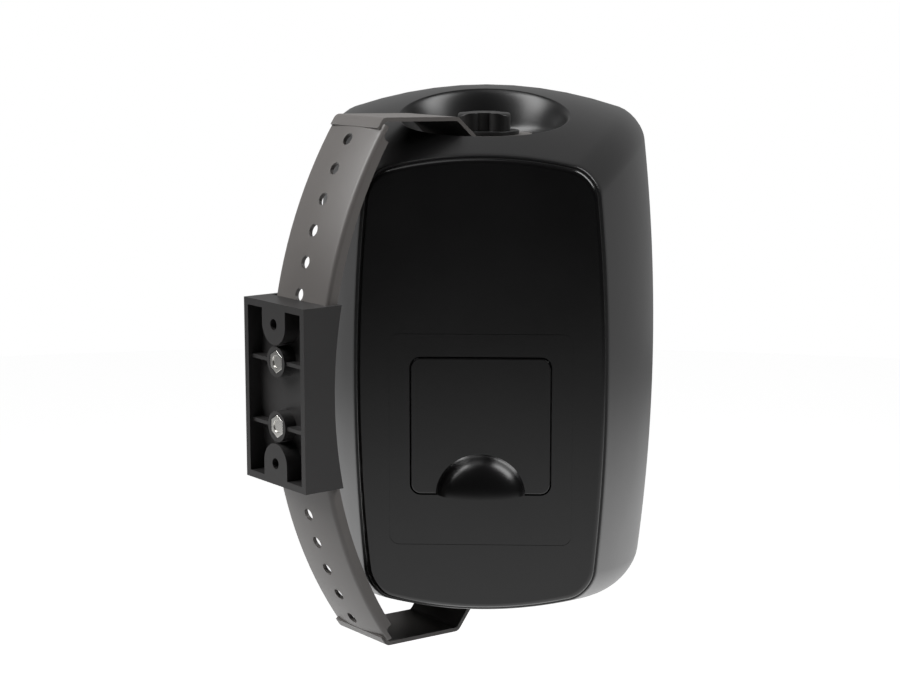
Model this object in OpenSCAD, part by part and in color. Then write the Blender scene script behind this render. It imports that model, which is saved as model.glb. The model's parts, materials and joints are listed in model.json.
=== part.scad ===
// Wall speaker: a moulded two-way cabinet that turns between two hand knobs on a curved steel strap,
// with the strap bolted to a moulded wall mount. All sizes are in millimetres.
// Origin: centre of the wall plane, which is the open rim of the wall mount.
// +Z is up, +Y points into the wall and -Y into the room.

/* [Swivel] */
// Angle that the cabinet is turned on its knobs, from facing straight into the room
swivel_angle = 49.8; // [-60:0.1:60]
// Height of the cabinet's middle over the strap's middle
cabinet_rise = 1; // [0:0.1:1.5]

/* [Strap] */
// Radius of the strap's outer face, seen from the side
strap_r = 231.3; // [225:0.1:240]
// Distance from the swivel axis to the middle of the strap's outer face
strap_reach = 120.3; // [119:0.1:130]
// Distance from the wall plane to the middle of the strap's outer face
mount_depth = 10.2; // [9.6:0.1:12]
// Rise of the strap's folds over the seats of the tongues
fold_rise = 13.2; // [12:0.1:16]
// Width of the strap's face between its long bends
strap_w = 40; // [36:0.5:41]
// Thickness of the strap's sheet steel
strap_t = 2; // [1.5:0.1:2.2]
// Outer radius of the strap's long bends
strap_bend_r = 2.4; // [2.3:0.1:3]
// Depth of the strap's flanges under its outer face
flange_depth = 7.3; // [6:0.1:9]
// How much the strap's face bows out between its bends
strap_crown = 1.3; // [0.4:0.1:1.6]
// Pitch of the row of holes along the strap
hole_pitch = 16; // [15:0.5:17]
// Least distance along the strap from a hole's centre to a fold
hole_margin = 9; // [8:0.5:40]
// Diameter of the holes in the strap
hole_d = 6.5; // [6.3:0.1:7]
// Outer radius of the folds between strap and tongues
fold_r = 4; // [3:0.5:6]
// Slope of both tongues, falling towards the swivel axis
tongue_slope = 1.8; // [0:0.1:2.2]
// Distance from the swivel axis at which a tongue's step starts
step_start = 32.5; // [30:0.5:34]
// Distance from the swivel axis at which a tongue's step ends
step_end = 20; // [18:0.5:24]
// Radius of the bends in a tongue's step
step_r = 4; // [3:0.5:5]
// Distance that a tongue's round end is centred past the swivel axis
tongue_past = 6; // [4:0.5:8]
// Diameter of the knob hole in a tongue
tongue_hole_d = 8.4; // [7:0.1:9]

/* [Wall mount] */
// Height of the wall mount
mount_h = 90; // [86:1:96]
// Thickness of the wall mount's outer walls
mount_wall = 3.4; // [2.5:0.1:4]
// Thickness of the floor between the strap and the open cells
mount_floor = 3; // [2.5:0.1:4]
// Side clearance between the strap and the wall mount
mount_gap = 0.3; // [0.2:0.05:0.6]
// Thickness of the wall mount's cross ribs
rib_t = 1.8; // [1.4:0.1:2.4]
// Height of the wall screw holes over and under the middle
wall_hole_z = 34.4; // [34:0.1:35]
// Diameter of the wall screw holes
wall_hole_d = 5.5; // [4.5:0.1:6]
// Half width of the pads round the wall screw holes
pad_r = 10; // [8:0.2:10.4]
// Radius of the bosses round the strap screws
boss_r = 7.6; // [7:0.1:8]
// Depth of those bosses behind the wall plane
boss_drop = 1; // [0.6:0.1:2]
// Height of the strap screws over and under the middle
strap_screw_z = 16; // [15.9:0.1:16.1]
// Diameter of the strap screws
strap_screw_d = 6; // [5:0.1:6]
// Width across flats of the strap screws' nuts
nut_af = 10; // [9:0.1:10]
// Thickness of those nuts
nut_t = 4.8; // [4:0.1:5]

/* [Cabinet] */
// Distance from the woofer's rim to the cabinet's side
side_margin = 26.5; // [25:0.5:32]
// Distance from the cabinet's highest point to the tweeter's rim
top_margin = 22.2; // [21:0.1:30]
// Distance between the tweeter's rim and the woofer's
driver_gap = 7; // [4:0.5:12]
// Distance from the woofer's rim to the cabinet's lowest point
bottom_margin = 39.2; // [36:0.1:46]
// Distance from the swivel axis to the rear panel's face
panel_y = 69.2; // [68:0.2:72]
// Distance from the swivel axis forward to the widest section
widest_y = 70; // [69:0.5:72]
// Distance from the swivel axis forward to the front rim
front_y = 81.5; // [81:0.5:84]
// Thickness of the cabinet's walls
cab_wall = 3; // [2.5:0.1:3.5]
// Thickness of the rear wall
rear_wall = 5; // [4.8:0.1:6]
// Corner radius of the widest section
cab_corner_r = 13.5; // [12:0.5:18]
// Share of the half width that the widest section loses towards its corners
cab_side_bow = 0.087; // [0.05:0.005:0.1]
// Share of the half height that the widest section loses towards its corners
cab_top_bow = 0.116; // [0.08:0.005:0.12]

/* [Rear panel] */
// Distance from the cabinet's side to the raised rear panel
panel_side = 31.3; // [29:0.1:34]
// Distance from the cabinet's highest point to the raised rear panel
panel_drop = 28.7; // [28:0.1:32]
// Corner radius of the raised rear panel
panel_corner_r = 12; // [10:0.5:15]
// Share of the half width that the panel loses towards its corners
panel_side_bow = 0.095; // [0.08:0.005:0.1]
// Share of the half height that the panel loses towards its corners
panel_top_bow = 0.07; // [0.05:0.005:0.08]
// Width of the groove round the panel
groove_w = 1; // [0.7:0.1:1.4]
// Depth of that groove under the panel's face
groove_depth = 3; // [2:0.1:3]
// Depth of the thin outline sunk in the panel round the terminal cover
outline_depth = 0.3; // [0.2:0.05:0.5]

/* [Swivel seats] */
// Depth of the bowl floors under the cabinet's highest and over its lowest point
bowl_depth = 26; // [25:0.1:26.6]
// Radius of a bowl's flat floor
bowl_floor_r = 30.5; // [28:0.5:31]
// Radius of a bowl at its rim
bowl_rim_r = 43; // [42:0.5:44]
// Radius of the curve between a bowl's floor and its wall
bowl_curve_r = 9; // [6:0.5:9]
// Radius of the rubber washers under the tongues
rubber_washer_r = 20; // [18:0.5:21]
// Radius of the steel washers under the knobs
steel_washer_r = 18; // [15:0.5:18]
// Thickness of the rubber washers
rubber_t = 2; // [1.5:0.1:2.2]
// Thickness of the steel washers
washer_t = 1.8; // [1.2:0.1:2]
// Clearance between faces that slide on each other
slide_gap = 0.1; // [0.05:0.01:0.15]

/* [Knobs] */
// Height of a knob
knob_h = 9.6; // [8:0.2:11]
// Distance of the knob's lobes from its axis
lobe_reach = 8.6; // [8:0.1:9]
// Radius of a lobe
lobe_r = 6; // [5.5:0.1:6.4]
// Radius of the rounded edge on top of a knob
knob_edge_r = 2.6; // [1.5:0.1:3]
// Diameter of the knob's threaded stud
stud_d = 6; // [5:0.1:6]
// Length of the stud in its insert
stud_grip = 9; // [7:0.5:10]
// Diameter of the threaded insert
insert_d = 10; // [9:0.1:11]
// Length of the threaded insert
insert_len = 12; // [11:0.5:13]

/* [Terminal cover] */
// Width of the terminal cover
cover_w = 69; // [68:0.2:70]
// Height of the terminal cover
cover_h = 68.6; // [68:0.2:69]
// Height of the cover's top edge over the cabinet's middle
cover_top_z = 14.9; // [14:0.1:16]
// Thickness of the cover
cover_t = 2.6; // [2.2:0.1:2.8]
// Corner radius of the cover
cover_corner_r = 5; // [4:0.2:6]
// Gap round the cover
cover_gap = 0.5; // [0.4:0.05:0.7]
// Distance of the hinge axis under the cover's top edge
hinge_drop = 4.6; // [4.4:0.05:4.8]
// Depth of the hinge axis under the panel's face
hinge_depth = 1.6; // [1.5:0.05:1.7]
// Radius of the hinge pins
hinge_pin_r = 1; // [0.8:0.05:1.1]
// Length of the hinge pins in their bores
hinge_pin_len = 2.2; // [1.8:0.1:2.4]
// Running clearance round the hinge pins
hinge_gap = 0.06; // [0.03:0.01:0.1]
// Width of the cover's hood
hood_w = 42; // [40:0.5:44]
// Height of the cover's hood
hood_h = 19.4; // [18:0.2:20]
// Distance that the hood stands out from the panel
hood_out = 10.5; // [9:0.2:12]
// Thickness of the hood's shell
hood_wall = 1.8; // [1.5:0.1:2]

/* [Terminals] */
// Depth of the recess behind the cover, down to the ledge
ledge_depth = 7.6; // [7.4:0.1:8]
// Half width of the terminal cup's flange
cup_flange_half_w = 32; // [31:0.5:33]
// Half width of the terminal cup's inside
cup_half_w = 24; // [23:0.5:25]
// Depth of the cup's floor under the panel's face
cup_depth = 27.2; // [26:0.2:30]
// Thickness of the cup's walls
cup_wall = 2; // [1.6:0.1:2.2]
// Distance between the two terminals
terminal_pitch = 21; // [20:0.5:22]
// Width of a terminal lever
lever_w = 10; // [9:0.5:11]
// Radius of a lever's pivot pins
lever_pin_r = 1.2; // [1:0.05:1.3]
// Radius of the wire holes under the levers
wire_hole_r = 2.2; // [1.8:0.1:2.5]

/* [Drivers] */
// Distance from the swivel axis forward to the baffle's face
baffle_y = 68; // [67.5:0.1:68.2]
// Thickness of the baffle
baffle_t = 5; // [4.5:0.1:5]
// Radius of the woofer's mounting flange
woofer_r = 66; // [64:0.5:70]
// Width of the woofer's mounting flange
woofer_rim = 8; // [7.5:0.5:9]
// Radius of the woofer's voice coil
coil_r = 12.9; // [12.8:0.05:13]
// Radius of the tweeter's faceplate
tweeter_r = 41; // [40:0.5:42]
// Depth of the woofer's magnet behind the baffle's face
magnet_z = 42; // [41:0.5:46]
// Radius of the woofer's magnet
magnet_r = 42; // [38:0.5:44]
// Thickness of the woofer's magnet
magnet_t = 15; // [12:0.5:18]
// Thickness of the steel plates on the woofer's magnet
plate_t = 5; // [4:0.5:6]
// Radius of the tweeter's magnet
tweeter_magnet_r = 28; // [24:0.5:30]
// Thickness of the tweeter's magnet
tweeter_magnet_t = 18; // [14:0.5:20]
// Distance from the cabinet's side to the reflex port's axis
port_side = 36.5; // [35:0.5:38]
// Height of the reflex port's axis over the woofer's rim
port_rise = 7; // [6:0.5:9]
// Inner radius of the reflex port
port_r = 13; // [11:0.5:13]
// Length of the reflex port
port_len = 70; // [50:1:80]
// Thickness of the grille's sheet
grille_t = 1.2; // [1:0.1:1.5]
// Distance of the grille's edge inside the cabinet's outline
grille_inset = 10.6; // [10.5:0.1:12]
// Pitch of the six-sided holes in the grille
grille_pitch = 10; // [10:0.5:16]
// Width of those holes across their flats
grille_hole = 7.6; // [5:0.2:8]

/* [Fasteners and crossover] */
// Shaft diameter of the screws in the cabinet
screw_d = 3.6; // [3:0.1:3.6]
// Length of the screws that join the shell and the baffle
cabinet_screw_len = 24; // [20:0.5:25]
// Length of the woofer's screws
woofer_screw_len = 16; // [12:0.5:18]
// Length of the tweeter's screws
tweeter_screw_len = 14; // [12:0.5:16]
// Width of the crossover board
board_w = 84; // [80:1:96]
// Height of the crossover board
board_h = 50; // [48:1:52]
// Thickness of the crossover board
board_t = 1.6; // [1:0.1:2]
// Outer radius of the crossover's coil
choke_r = 15; // [12:0.5:16]
// Height of the crossover's coil
choke_h = 15; // [12:0.5:18]
// Radius of the crossover's capacitors
capacitor_r = 6.5; // [5:0.5:7]
// Length of the crossover's capacitors
capacitor_len = 26; // [20:0.5:28]

/* [Hidden] */
$fn = 64;
eps = 0.01;
far = 400;

// The cabinet's half sizes follow from its drivers
cab_half_w = woofer_r + side_margin;
cab_half_h = (top_margin + 2 * tweeter_r + driver_gap + 2 * woofer_r + bottom_margin) / 2;
woofer_z = bottom_margin + woofer_r - cab_half_h;
tweeter_z = cab_half_h - top_margin - tweeter_r;
port_x = cab_half_w - port_side;
port_z = woofer_z + woofer_r + port_rise;
panel_half_w = cab_half_w - panel_side;
panel_half_h = cab_half_h - panel_drop;

// Heights in a swivel seat, from the bowl's floor up
bowl_floor_z = cab_half_h - bowl_depth;
seat_z = bowl_floor_z + rubber_t + strap_t + 2 * slide_gap;
washer_z = seat_z + slide_gap;
knob_z = washer_z + washer_t + slide_gap;
boss_wall = 3.5;

// Strap and wall mount
pivot_reach = strap_reach + mount_depth;
arc_y = -mount_depth - strap_r;
strap_half_h = seat_z + fold_rise;
fold_angle = asin(strap_half_h / strap_r);
hole_steps = floor((strap_r * fold_angle * PI / 180 - hole_margin) / hole_pitch);
web_half = strap_w / 2;
strap_half_w = web_half + strap_bend_r;
web_angle = fold_angle - 0.7;
relief_angle = fold_angle - 2.3;
relief_r = 2;
tongue_lift = 0.1;
lead_in = 6;
tongue_half_w = web_half - 0.1;
seat_gap = 0.22;
cell_arc_r = strap_r + seat_gap + mount_floor;
mount_half_w = strap_half_w + mount_gap + mount_wall;
mount_space = 60;
screw_head_r = 5.4;
screw_head_h = 3.4;
hex_key = 4;

// Cabinet shell and baffle
slope_start_y = panel_y - 2;
split_y = -62;
gasket_t = 1;
baffle_back_y = split_y - gasket_t;
face_y = -baffle_y;
corner_steps = 6;
side_steps = 5;
slope_shares = [0, 0.02, 0.05, 0.1, 0.17, 0.26, 0.36, 0.48, 0.6, 0.72, 0.84, 0.95];
hollow_shares = [0.08, 0.17, 0.3, 0.45, 0.62, 0.8];
screw_r = screw_d / 2;
screw_hole_r = screw_r + 0.3;
screw_boss_r = 5;
screw_boss_end = 30;
small_head_r = 3.6;
small_head_h = 2.4;

// Places of the screws that hold the shell and the baffle together
side_screw = [cab_half_w - 19.5, port_z + 15];
corner_screw = [cab_half_w - 28.5, cab_half_h - 27.2];
screw_places = [for (sx = [-1, 1], sz = [-1, 1], p = [side_screw, corner_screw]) [sx * p.x, sz * p.y]];

// Recess, cover and terminal cup
cover_bottom_z = cover_top_z - cover_h;
recess_w = cover_w + 2 * cover_gap;
recess_h = cover_h + 2 * cover_gap;
recess_z = (cover_top_z + cover_bottom_z) / 2;
hinge_z = cover_top_z - hinge_drop;
hinge_y = panel_y - hinge_depth;
hinge_end = 6;
ledge_y = panel_y - ledge_depth;
ledge_t = 5;
outline_w = cover_w + 21.4;
outline_h = cover_h + 38;
outline_z = recess_z - 6.9;
outline_line = 0.5;
outline_r = 5;
cup_top_z = cover_top_z - 13.9;
cup_low_z = cover_bottom_z + 7.7;
cup_z = (cup_top_z + cup_low_z) / 2;
cup_h = cup_top_z - cup_low_z;
cup_fit = 0.3;
flange_top_z = cup_top_z + 5.5;
flange_low_z = cup_low_z - 5;
flange_h = flange_top_z - flange_low_z;
flange_z = (flange_top_z + flange_low_z) / 2;
cup_gasket_t = 1;
flange_t = 1.6;
flange_y = ledge_y + cup_gasket_t;
cup_screw_r = 1.5;
cup_floor_y = panel_y - cup_depth;
block_y = cup_floor_y + 8;
lever_pivot_z = cup_top_z - 13;
lever_pivot_y = block_y - 2.4;
lever_len = 15;
lever_tip_out = 6;
lever_hub_r = 2.2;
lever_side_gap = 0.4;
lever_swing_r = norm([lever_tip_out, lever_len]) + 0.3;
lever_pocket_top = 3.2;
lever_pocket_depth = 20;

// Crossover board behind the rear wall, over the terminal recess
board_y = panel_y - rear_wall - 8;
board_z = cover_top_z + 51.1;
board_margin = 5;
board_hole_r = 1.5;
board_post_r = 3.2;

// Drivers
hole_r = woofer_r - woofer_rim;
flange_sheet = 2.5;
woofer_screw_r = woofer_r - 4;
tweeter_screw_r = tweeter_r - 4.5;
tweeter_hole_r = tweeter_r - 9;
air_gap = 0.85;
coil_wall = 0.15;
cone_foot_z = magnet_z - 20;
cone_edge_r = hole_r - 9;
cone_t = 1.45;
cap_r = coil_r + 4.1;
cap_h = 6;
cap_t = 0.8;
dome_r = 12.5;
dome_h = 5.6;
dome_seat_r = 14;
faceplate_depth = 4;
port_wall = 1.6;
port_flare = 4;

function arc_height_y(r, z) = arc_y + sqrt(r * r - z * z);

// One quarter of a rounded rectangle, from its side to its top
function quarter(a, b, r) = concat(
    [for (i = [0:side_steps - 1]) [a, (b - r) * i / side_steps]],
    [for (i = [0:corner_steps]) let (t = 90 * i / corner_steps)
        [a - r + r * cos(t), b - r + r * sin(t)]],
    [for (i = [1:side_steps]) [(a - r) * (1 - i / side_steps), b]]);

// The whole outline from its quarter
function whole(q) = let (n = len(q)) concat(
    q,
    [for (i = [n - 2:-1:0]) [-q[i].x, q[i].y]],
    [for (i = [1:n - 1]) [-q[i].x, -q[i].y]],
    [for (i = [n - 2:-1:1]) [q[i].x, -q[i].y]]);

// Outline with bowed sides: each side falls back by a share of the half size towards the corners
function bowed(a, b, r, side_bow, top_bow) = [
    for (p = whole(quarter(a, b, r)))
        [p.x * (1 - side_bow * pow(p.y / b, 2)), p.y * (1 - top_bow * pow(p.x / a, 2))]];

function blend(a, b, share) = a + (b - a) * share;

// How far the cabinet has swelled from its rear panel to its widest section, from 0 to 1
function swell(y) = y > slope_start_y ? 0
    : y < -widest_y ? 1
    : sin(90 * (slope_start_y - y) / (slope_start_y + widest_y));

// Section of the cabinet's outer surface at y, moved in by an inset
function section(y, inset) = let (s = swell(y)) bowed(
    blend(panel_half_w + groove_w, cab_half_w, s) - inset,
    blend(panel_half_h + groove_w, cab_half_h, s) - inset,
    max(2, blend(panel_corner_r + groove_w, cab_corner_r, s) - inset),
    blend(panel_side_bow, cab_side_bow, s),
    blend(panel_top_bow, cab_top_bow, s));

// Section of the raised rear panel, moved in by an inset
function panel_section(inset) = bowed(
    panel_half_w - inset, panel_half_h - inset, panel_corner_r - inset / 2,
    panel_side_bow, panel_top_bow);

// Solid through a list of sections, each a pair of y and outline, from rear to front
module skin(rings) {
    n = len(rings[0][1]);
    last = len(rings) - 1;
    points = [for (ring = rings) for (p = ring[1]) [p.x, ring[0], p.y]];
    sides = [for (i = [0:last - 1]) for (j = [0:n - 1])
        let (k = (j + 1) % n, a = i * n, b = a + n)
        for (f = [[b + j, b + k, a + k], [b + j, a + k, a + j]]) f];
    rear_cap = [for (j = [0:n - 1]) j];
    front_cap = [for (j = [n - 1:-1:0]) last * n + j];
    polyhedron(points, concat([rear_cap, front_cap], sides), convexity = 8);
}

// Flat outline in the XZ plane made solid between two values of y
module slab(y_low, y_high) {
    translate([0, y_high, 0])
        rotate([90, 0, 0])
            linear_extrude(y_high - y_low)
                children();
}

module section_slab(y_low, y_high, inset) {
    slab(y_low, y_high)
        polygon(section(-widest_y, inset));
}

module rod_y(r, y_low, y_high) {
    translate([0, y_high, 0])
        rotate([90, 0, 0])
            cylinder(r = r, h = y_high - y_low);
}

module rod_x(r, length) {
    rotate([0, 90, 0])
        cylinder(r = r, h = length, center = true);
}

module rounded_rect(w, h, r) {
    square([w - 2 * r, h], center = true);
    square([w, h - 2 * r], center = true);
    for (x = [-1, 1], z = [-1, 1])
        translate([x * (w / 2 - r), z * (h / 2 - r)])
            circle(r);
}

module at_pivot() {
    translate([0, -pivot_reach, cabinet_rise])
        children();
}

module in_cabinet() {
    at_pivot()
        rotate([0, 0, swivel_angle])
            children();
}

// The same thing on top and, mirrored, underneath
module on_side(side) {
    if (side > 0)
        children();
    else
        mirror([0, 0, 1])
            children();
}

// Driver frame: Z runs from the baffle's face into the cabinet
module on_baffle(x, z) {
    translate([x, face_y, z])
        rotate([-90, 0, 0])
            children();
}

// Strap frame: revolved about the centre of the strap's arc, with the strap's width along X
module strap_turn(half_angle) {
    translate([0, arc_y, 0])
        rotate([90, 0, 90])
            rotate([0, 0, -half_angle])
                rotate_extrude(angle = 2 * half_angle, $fn = 180)
                    children();
}

// Points of a rounded corner at b between the legs to a and c
function fillet(a, b, c, r, steps = 5) =
    let (
        u = (a - b) / norm(a - b),
        v = (c - b) / norm(c - b),
        half = acos(u * v) / 2,
        centre = b + (u + v) / norm(u + v) * r / sin(half),
        from = b + u * r / tan(half) - centre,
        turn = cross(-u, v) > 0 ? 1 : -1,
        sweep = 180 - 2 * half)
    [for (i = [0:steps]) let (t = turn * sweep * i / steps)
        centre + [from.x * cos(t) - from.y * sin(t), from.x * sin(t) + from.y * cos(t)]];

// The same path moved sideways by d, to the left of its direction
function beside(path, d) = [for (i = [0:len(path) - 1])
    let (
        before = i == 0 ? path[1] - path[0] : path[i] - path[i - 1],
        after = i == len(path) - 1 ? before : path[i + 1] - path[i],
        u = before / norm(before),
        v = after / norm(after),
        m = [-u.y - v.y, u.x + v.x],
        n = m / norm(m))
    path[i] + n * d / (n * [-u.y, u.x])];

// Outer line of the strap's cross-section, as radius and place along the width:
// a flange, a long bend, the crowned face, a long bend and a flange
function strap_outer() =
    let (
        edge_r = strap_r - strap_crown,
        low_r = strap_r - flange_depth,
        bend = [for (i = [0:4]) let (t = 90 - 90 * i / 4)
            [edge_r - strap_bend_r * (1 - cos(t)), -web_half - strap_bend_r * sin(t)]],
        left = concat([[low_r, -strap_half_w]], bend))
    concat(
        left,
        [for (i = [1:11]) let (h = web_half * (i / 6 - 1))
            [strap_r - strap_crown * pow(h / web_half, 2), h]],
        [for (i = [len(left) - 1:-1:0]) [left[i].x, -left[i].y]]);

module strap_section() {
    outer = strap_outer();
    inner = beside(outer, strap_t);
    polygon(concat(outer, [for (i = [len(inner) - 1:-1:0]) inner[i]]));
}

// Space from which the flanges are cut away before each fold, with a rounded corner
module flange_relief() {
    top_r = strap_r - strap_crown - strap_bend_r + 0.2;
    low_r = strap_r - flange_depth - strap_t;
    translate([-far / 2, arc_y, 0])
        rotate([90, 0, 90])
            linear_extrude(far)
                for (side = [-1, 1]) {
                    start = relief_angle * side;
                    corner = top_r * [cos(start), sin(start)];
                    foot = low_r * [cos(start), sin(start)];
                    past = top_r * [cos(start + 5 * side), sin(start + 5 * side)];
                    polygon(concat([foot], fillet(foot, corner, past, relief_r),
                                   [past, low_r * [cos(start + 5 * side), sin(start + 5 * side)]]));
                }
}

// Side view of a tongue's outer face: from the strap's end over the fold, the step and the seat
function tongue_path(side) =
    let (
        outer_r = strap_r + tongue_lift,
        corner = [arc_y + outer_r * cos(fold_angle), side * outer_r * sin(fold_angle)],
        first = corner + lead_in * [sin(fold_angle), -side * cos(fold_angle)],
        slope_run = corner.x + pivot_reach - step_start,
        high = [step_start - pivot_reach, corner.y - slope_run * tan(tongue_slope)],
        low = [step_end - pivot_reach, cabinet_rise + side * (seat_z - slide_gap)],
        tip = [-pivot_reach - tongue_past - web_half - eps, low.y])
    concat([first], fillet(first, corner, high, fold_r), fillet(corner, high, low, step_r),
           fillet(high, low, tip, step_r), [tip]);

module tongue(side) {
    path = tongue_path(side);
    under = beside(path, side * strap_t);
    intersection() {
        rotate([90, 0, 90])
            linear_extrude(far, center = true)
                polygon(concat(path, [for (i = [len(under) - 1:-1:0]) under[i]]));
        translate([0, 0, -far / 2])
            linear_extrude(far) {
                translate([0, -pivot_reach - tongue_past])
                    circle(tongue_half_w);
                translate([-tongue_half_w, -pivot_reach - tongue_past])
                    square([2 * tongue_half_w, far / 2]);
            }
    }
}

module strap() {
    color([0.2, 0.2, 0.21])
        difference() {
            union() {
                difference() {
                    strap_turn(web_angle)
                        strap_section();
                    flange_relief();
                }
                for (side = [-1, 1])
                    tongue(side);
            }
            for (i = [-hole_steps:hole_steps])
                translate([0, arc_y, 0])
                    rotate([i * hole_pitch / strap_r * 180 / PI, 0, 0])
                        rod_y(hole_d / 2, strap_r - 3 * strap_t, strap_r + strap_t);
            translate([0, -pivot_reach, -far / 2])
                cylinder(d = tongue_hole_d, h = far);
        }
}

// Everything on the wall side of an arc about the strap's centre
module behind_arc(r, half_width) {
    difference() {
        translate([-half_width, arc_y, -mount_h])
            cube([2 * half_width, -arc_y, 2 * mount_h]);
        translate([0, arc_y, 0])
            fine_rod_x(r, 3 * half_width);
    }
}

module fine_rod_x(r, length) {
    rotate([0, 90, 0])
        cylinder(r = r, h = length, center = true, $fn = 240);
}

// Block of the wall mount's width and height, from the wall plane into the room
module mount_block(half_w, half_h, back_y) {
    translate([-half_w, -mount_space, -half_h])
        cube([2 * half_w, mount_space + back_y, 2 * half_h]);
}

module wall_mount() {
    inner_half_w = mount_half_w - mount_wall;
    inner_half_h = mount_h / 2 - mount_wall;
    boss_y = -boss_drop;
    color([0.13, 0.13, 0.14])
        difference() {
            union() {
                difference() {
                    intersection() {
                        mount_block(mount_half_w, mount_h / 2, 0);
                        behind_arc(strap_r - flange_depth, mount_half_w);
                    }
                    intersection() {
                        mount_block(inner_half_w, inner_half_h, eps);
                        behind_arc(cell_arc_r, mount_half_w);
                    }
                }
                intersection() {
                    behind_arc(strap_r + seat_gap, mount_half_w);
                    for (side = [-1, 1]) {
                        translate([0, 0, side * wall_hole_z])
                            rod_y(pad_r, -mount_space, 0);
                        translate([-pad_r, -mount_space, side > 0 ? wall_hole_z : -mount_h / 2 + eps])
                            cube([2 * pad_r, mount_space, mount_h / 2 - wall_hole_z - eps]);
                        translate([0, 0, side * strap_screw_z]) {
                            rod_y(boss_r, -mount_space, boss_y);
                            mount_block(inner_half_w + eps, rib_t / 2, -2 * boss_drop);
                        }
                    }
                }
            }
            // Channel in which the strap's face and flanges lie
            translate([0, arc_y, 0])
                fine_rod_x(strap_r + seat_gap, 2 * (strap_half_w + mount_gap));
            for (side = [-1, 1]) {
                translate([0, 0, side * wall_hole_z]) {
                    rod_y(wall_hole_d / 2, -mount_space, eps);
                    rod_y(wall_hole_d, -mount_space, arc_height_y(cell_arc_r, wall_hole_z) - mount_floor / 4);
                }
                translate([0, 0, side * strap_screw_z]) {
                    rod_y(strap_screw_d / 2 + mount_gap, -mount_space, eps);
                    translate([0, boss_y + eps, 0])
                        rotate([90, 30, 0])
                            cylinder(d = (nut_af + mount_gap) / cos(30), h = nut_t + mount_gap, $fn = 6);
                }
            }
        }
}

// Button heads that press on the strap's inner face
module strap_screws() {
    head_y = arc_height_y(strap_r - strap_t - strap_crown, strap_screw_z + screw_head_r)
        + strap_crown / 2;
    color([0.55, 0.55, 0.57])
        for (side = [-1, 1])
            translate([0, 0, side * strap_screw_z])
                difference() {
                    union() {
                        rod_y(strap_screw_d / 2 - 0.05, head_y - eps, -boss_drop - 0.6);
                        rod_y(screw_head_r, head_y - screw_head_h, head_y);
                    }
                    translate([0, head_y - screw_head_h / 2, 0])
                        rotate([90, 0, 0])
                            cylinder(d = hex_key / cos(30), h = screw_head_h, $fn = 6);
                }
}

module strap_nuts() {
    color([0.78, 0.78, 0.8])
        for (side = [-1, 1])
            translate([0, -boss_drop - mount_gap / 2, side * strap_screw_z])
                rotate([90, 30, 0])
                    difference() {
                        cylinder(d = nut_af / cos(30), h = nut_t, $fn = 6);
                        translate([0, 0, -eps])
                            cylinder(d = strap_screw_d, h = nut_t + 2 * eps);
                    }
}

// Cabinet shell

// y of a share of the way from the rear slope's start to the widest section
function slope_y(share) = blend(slope_start_y, -widest_y, share);

module shell_outside() {
    rings = concat(
        [[panel_y, panel_section(2.6)],
         [panel_y - 0.4, panel_section(1)],
         [panel_y - 1.4, panel_section(0)],
         [panel_y - groove_depth, panel_section(0)],
         [panel_y - groove_depth, section(slope_start_y, 0)]],
        [for (s = slope_shares) if (slope_y(s) < panel_y - groove_depth - 1 && slope_y(s) > split_y + 3)
            [slope_y(s), section(slope_y(s), 0)]],
        [[split_y, section(split_y, 0)]]);
    skin(rings);
}

module shell_inside() {
    start_y = panel_y - rear_wall;
    rings = concat(
        [[start_y, section(start_y, cab_wall + 1)]],
        [for (s = hollow_shares) [slope_y(s), section(slope_y(s), cab_wall)]],
        [[split_y - eps, section(split_y, cab_wall)]]);
    skin(rings);
}

// Outline of a bowl, revolved about the swivel axis, moved out by a wall
module bowl_space(wall) {
    floor_z = bowl_floor_z - wall;
    curve = bowl_curve_r + wall;
    wall_r = bowl_floor_r + bowl_curve_r + wall;
    rotate_extrude($fn = 96)
        polygon(concat(
            [[0, floor_z], [wall_r - curve, floor_z]],
            [for (i = [1:6]) let (t = 80 * i / 6)
                [wall_r - curve + curve * sin(t), floor_z + curve * (1 - cos(t))]],
            [[bowl_rim_r + wall + 2, bowl_floor_z + 34.8], [0, bowl_floor_z + 34.8]]));
}

module swivel_boss() {
    translate([0, 0, bowl_floor_z - insert_len - 3])
        cylinder(d = insert_d + 2 * boss_wall, h = insert_len + 3);
}

module swivel_boss_bore() {
    translate([0, 0, bowl_floor_z - insert_len - 1])
        cylinder(d = insert_d + 0.1, h = insert_len + 2);
}

module board_places() {
    for (x = [-1, 1], z = [-1, 1])
        translate([x * (board_w / 2 - board_margin), 0, board_z + z * (board_h / 2 - board_margin)])
            children();
}

// Wall round the terminal recess, moulded on the inside of the shell
module recess_collar() {
    translate([0, 0, recess_z])
        slab(ledge_y - ledge_t, panel_y - rear_wall + eps)
            rounded_rect(recess_w + 2 * boss_wall, recess_h + 2 * boss_wall, cover_corner_r + boss_wall);
}

// Outline of the opening that the terminal cup goes through
module cup_opening() {
    rounded_rect(2 * (cup_half_w + cup_wall + cup_fit), cup_h + 2 * (cup_wall + cup_fit), 3);
}

module recess_cut() {
    translate([0, 0, recess_z])
        slab(ledge_y, panel_y + 1)
            rounded_rect(recess_w, recess_h, cover_corner_r + cover_gap);
    translate([0, 0, cup_z])
        slab(ledge_y - ledge_t - 1, ledge_y + 1)
            cup_opening();
    translate([0, hinge_y, hinge_z])
        rod_x(hinge_pin_r + hinge_gap, cover_w + 2 * hinge_pin_len + 0.4);
    cup_screw_places()
        rod_y(cup_screw_r + 0.05, ledge_y - ledge_t - 1, ledge_y + 1);
}

// Thin sunk outline round the terminal cover
module panel_outline() {
    translate([0, 0, outline_z])
        slab(panel_y - outline_depth, panel_y + 1)
            difference() {
                rounded_rect(outline_w, outline_h, outline_r);
                rounded_rect(outline_w - 2 * outline_line, outline_h - 2 * outline_line,
                             outline_r - outline_line);
            }
}

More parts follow.
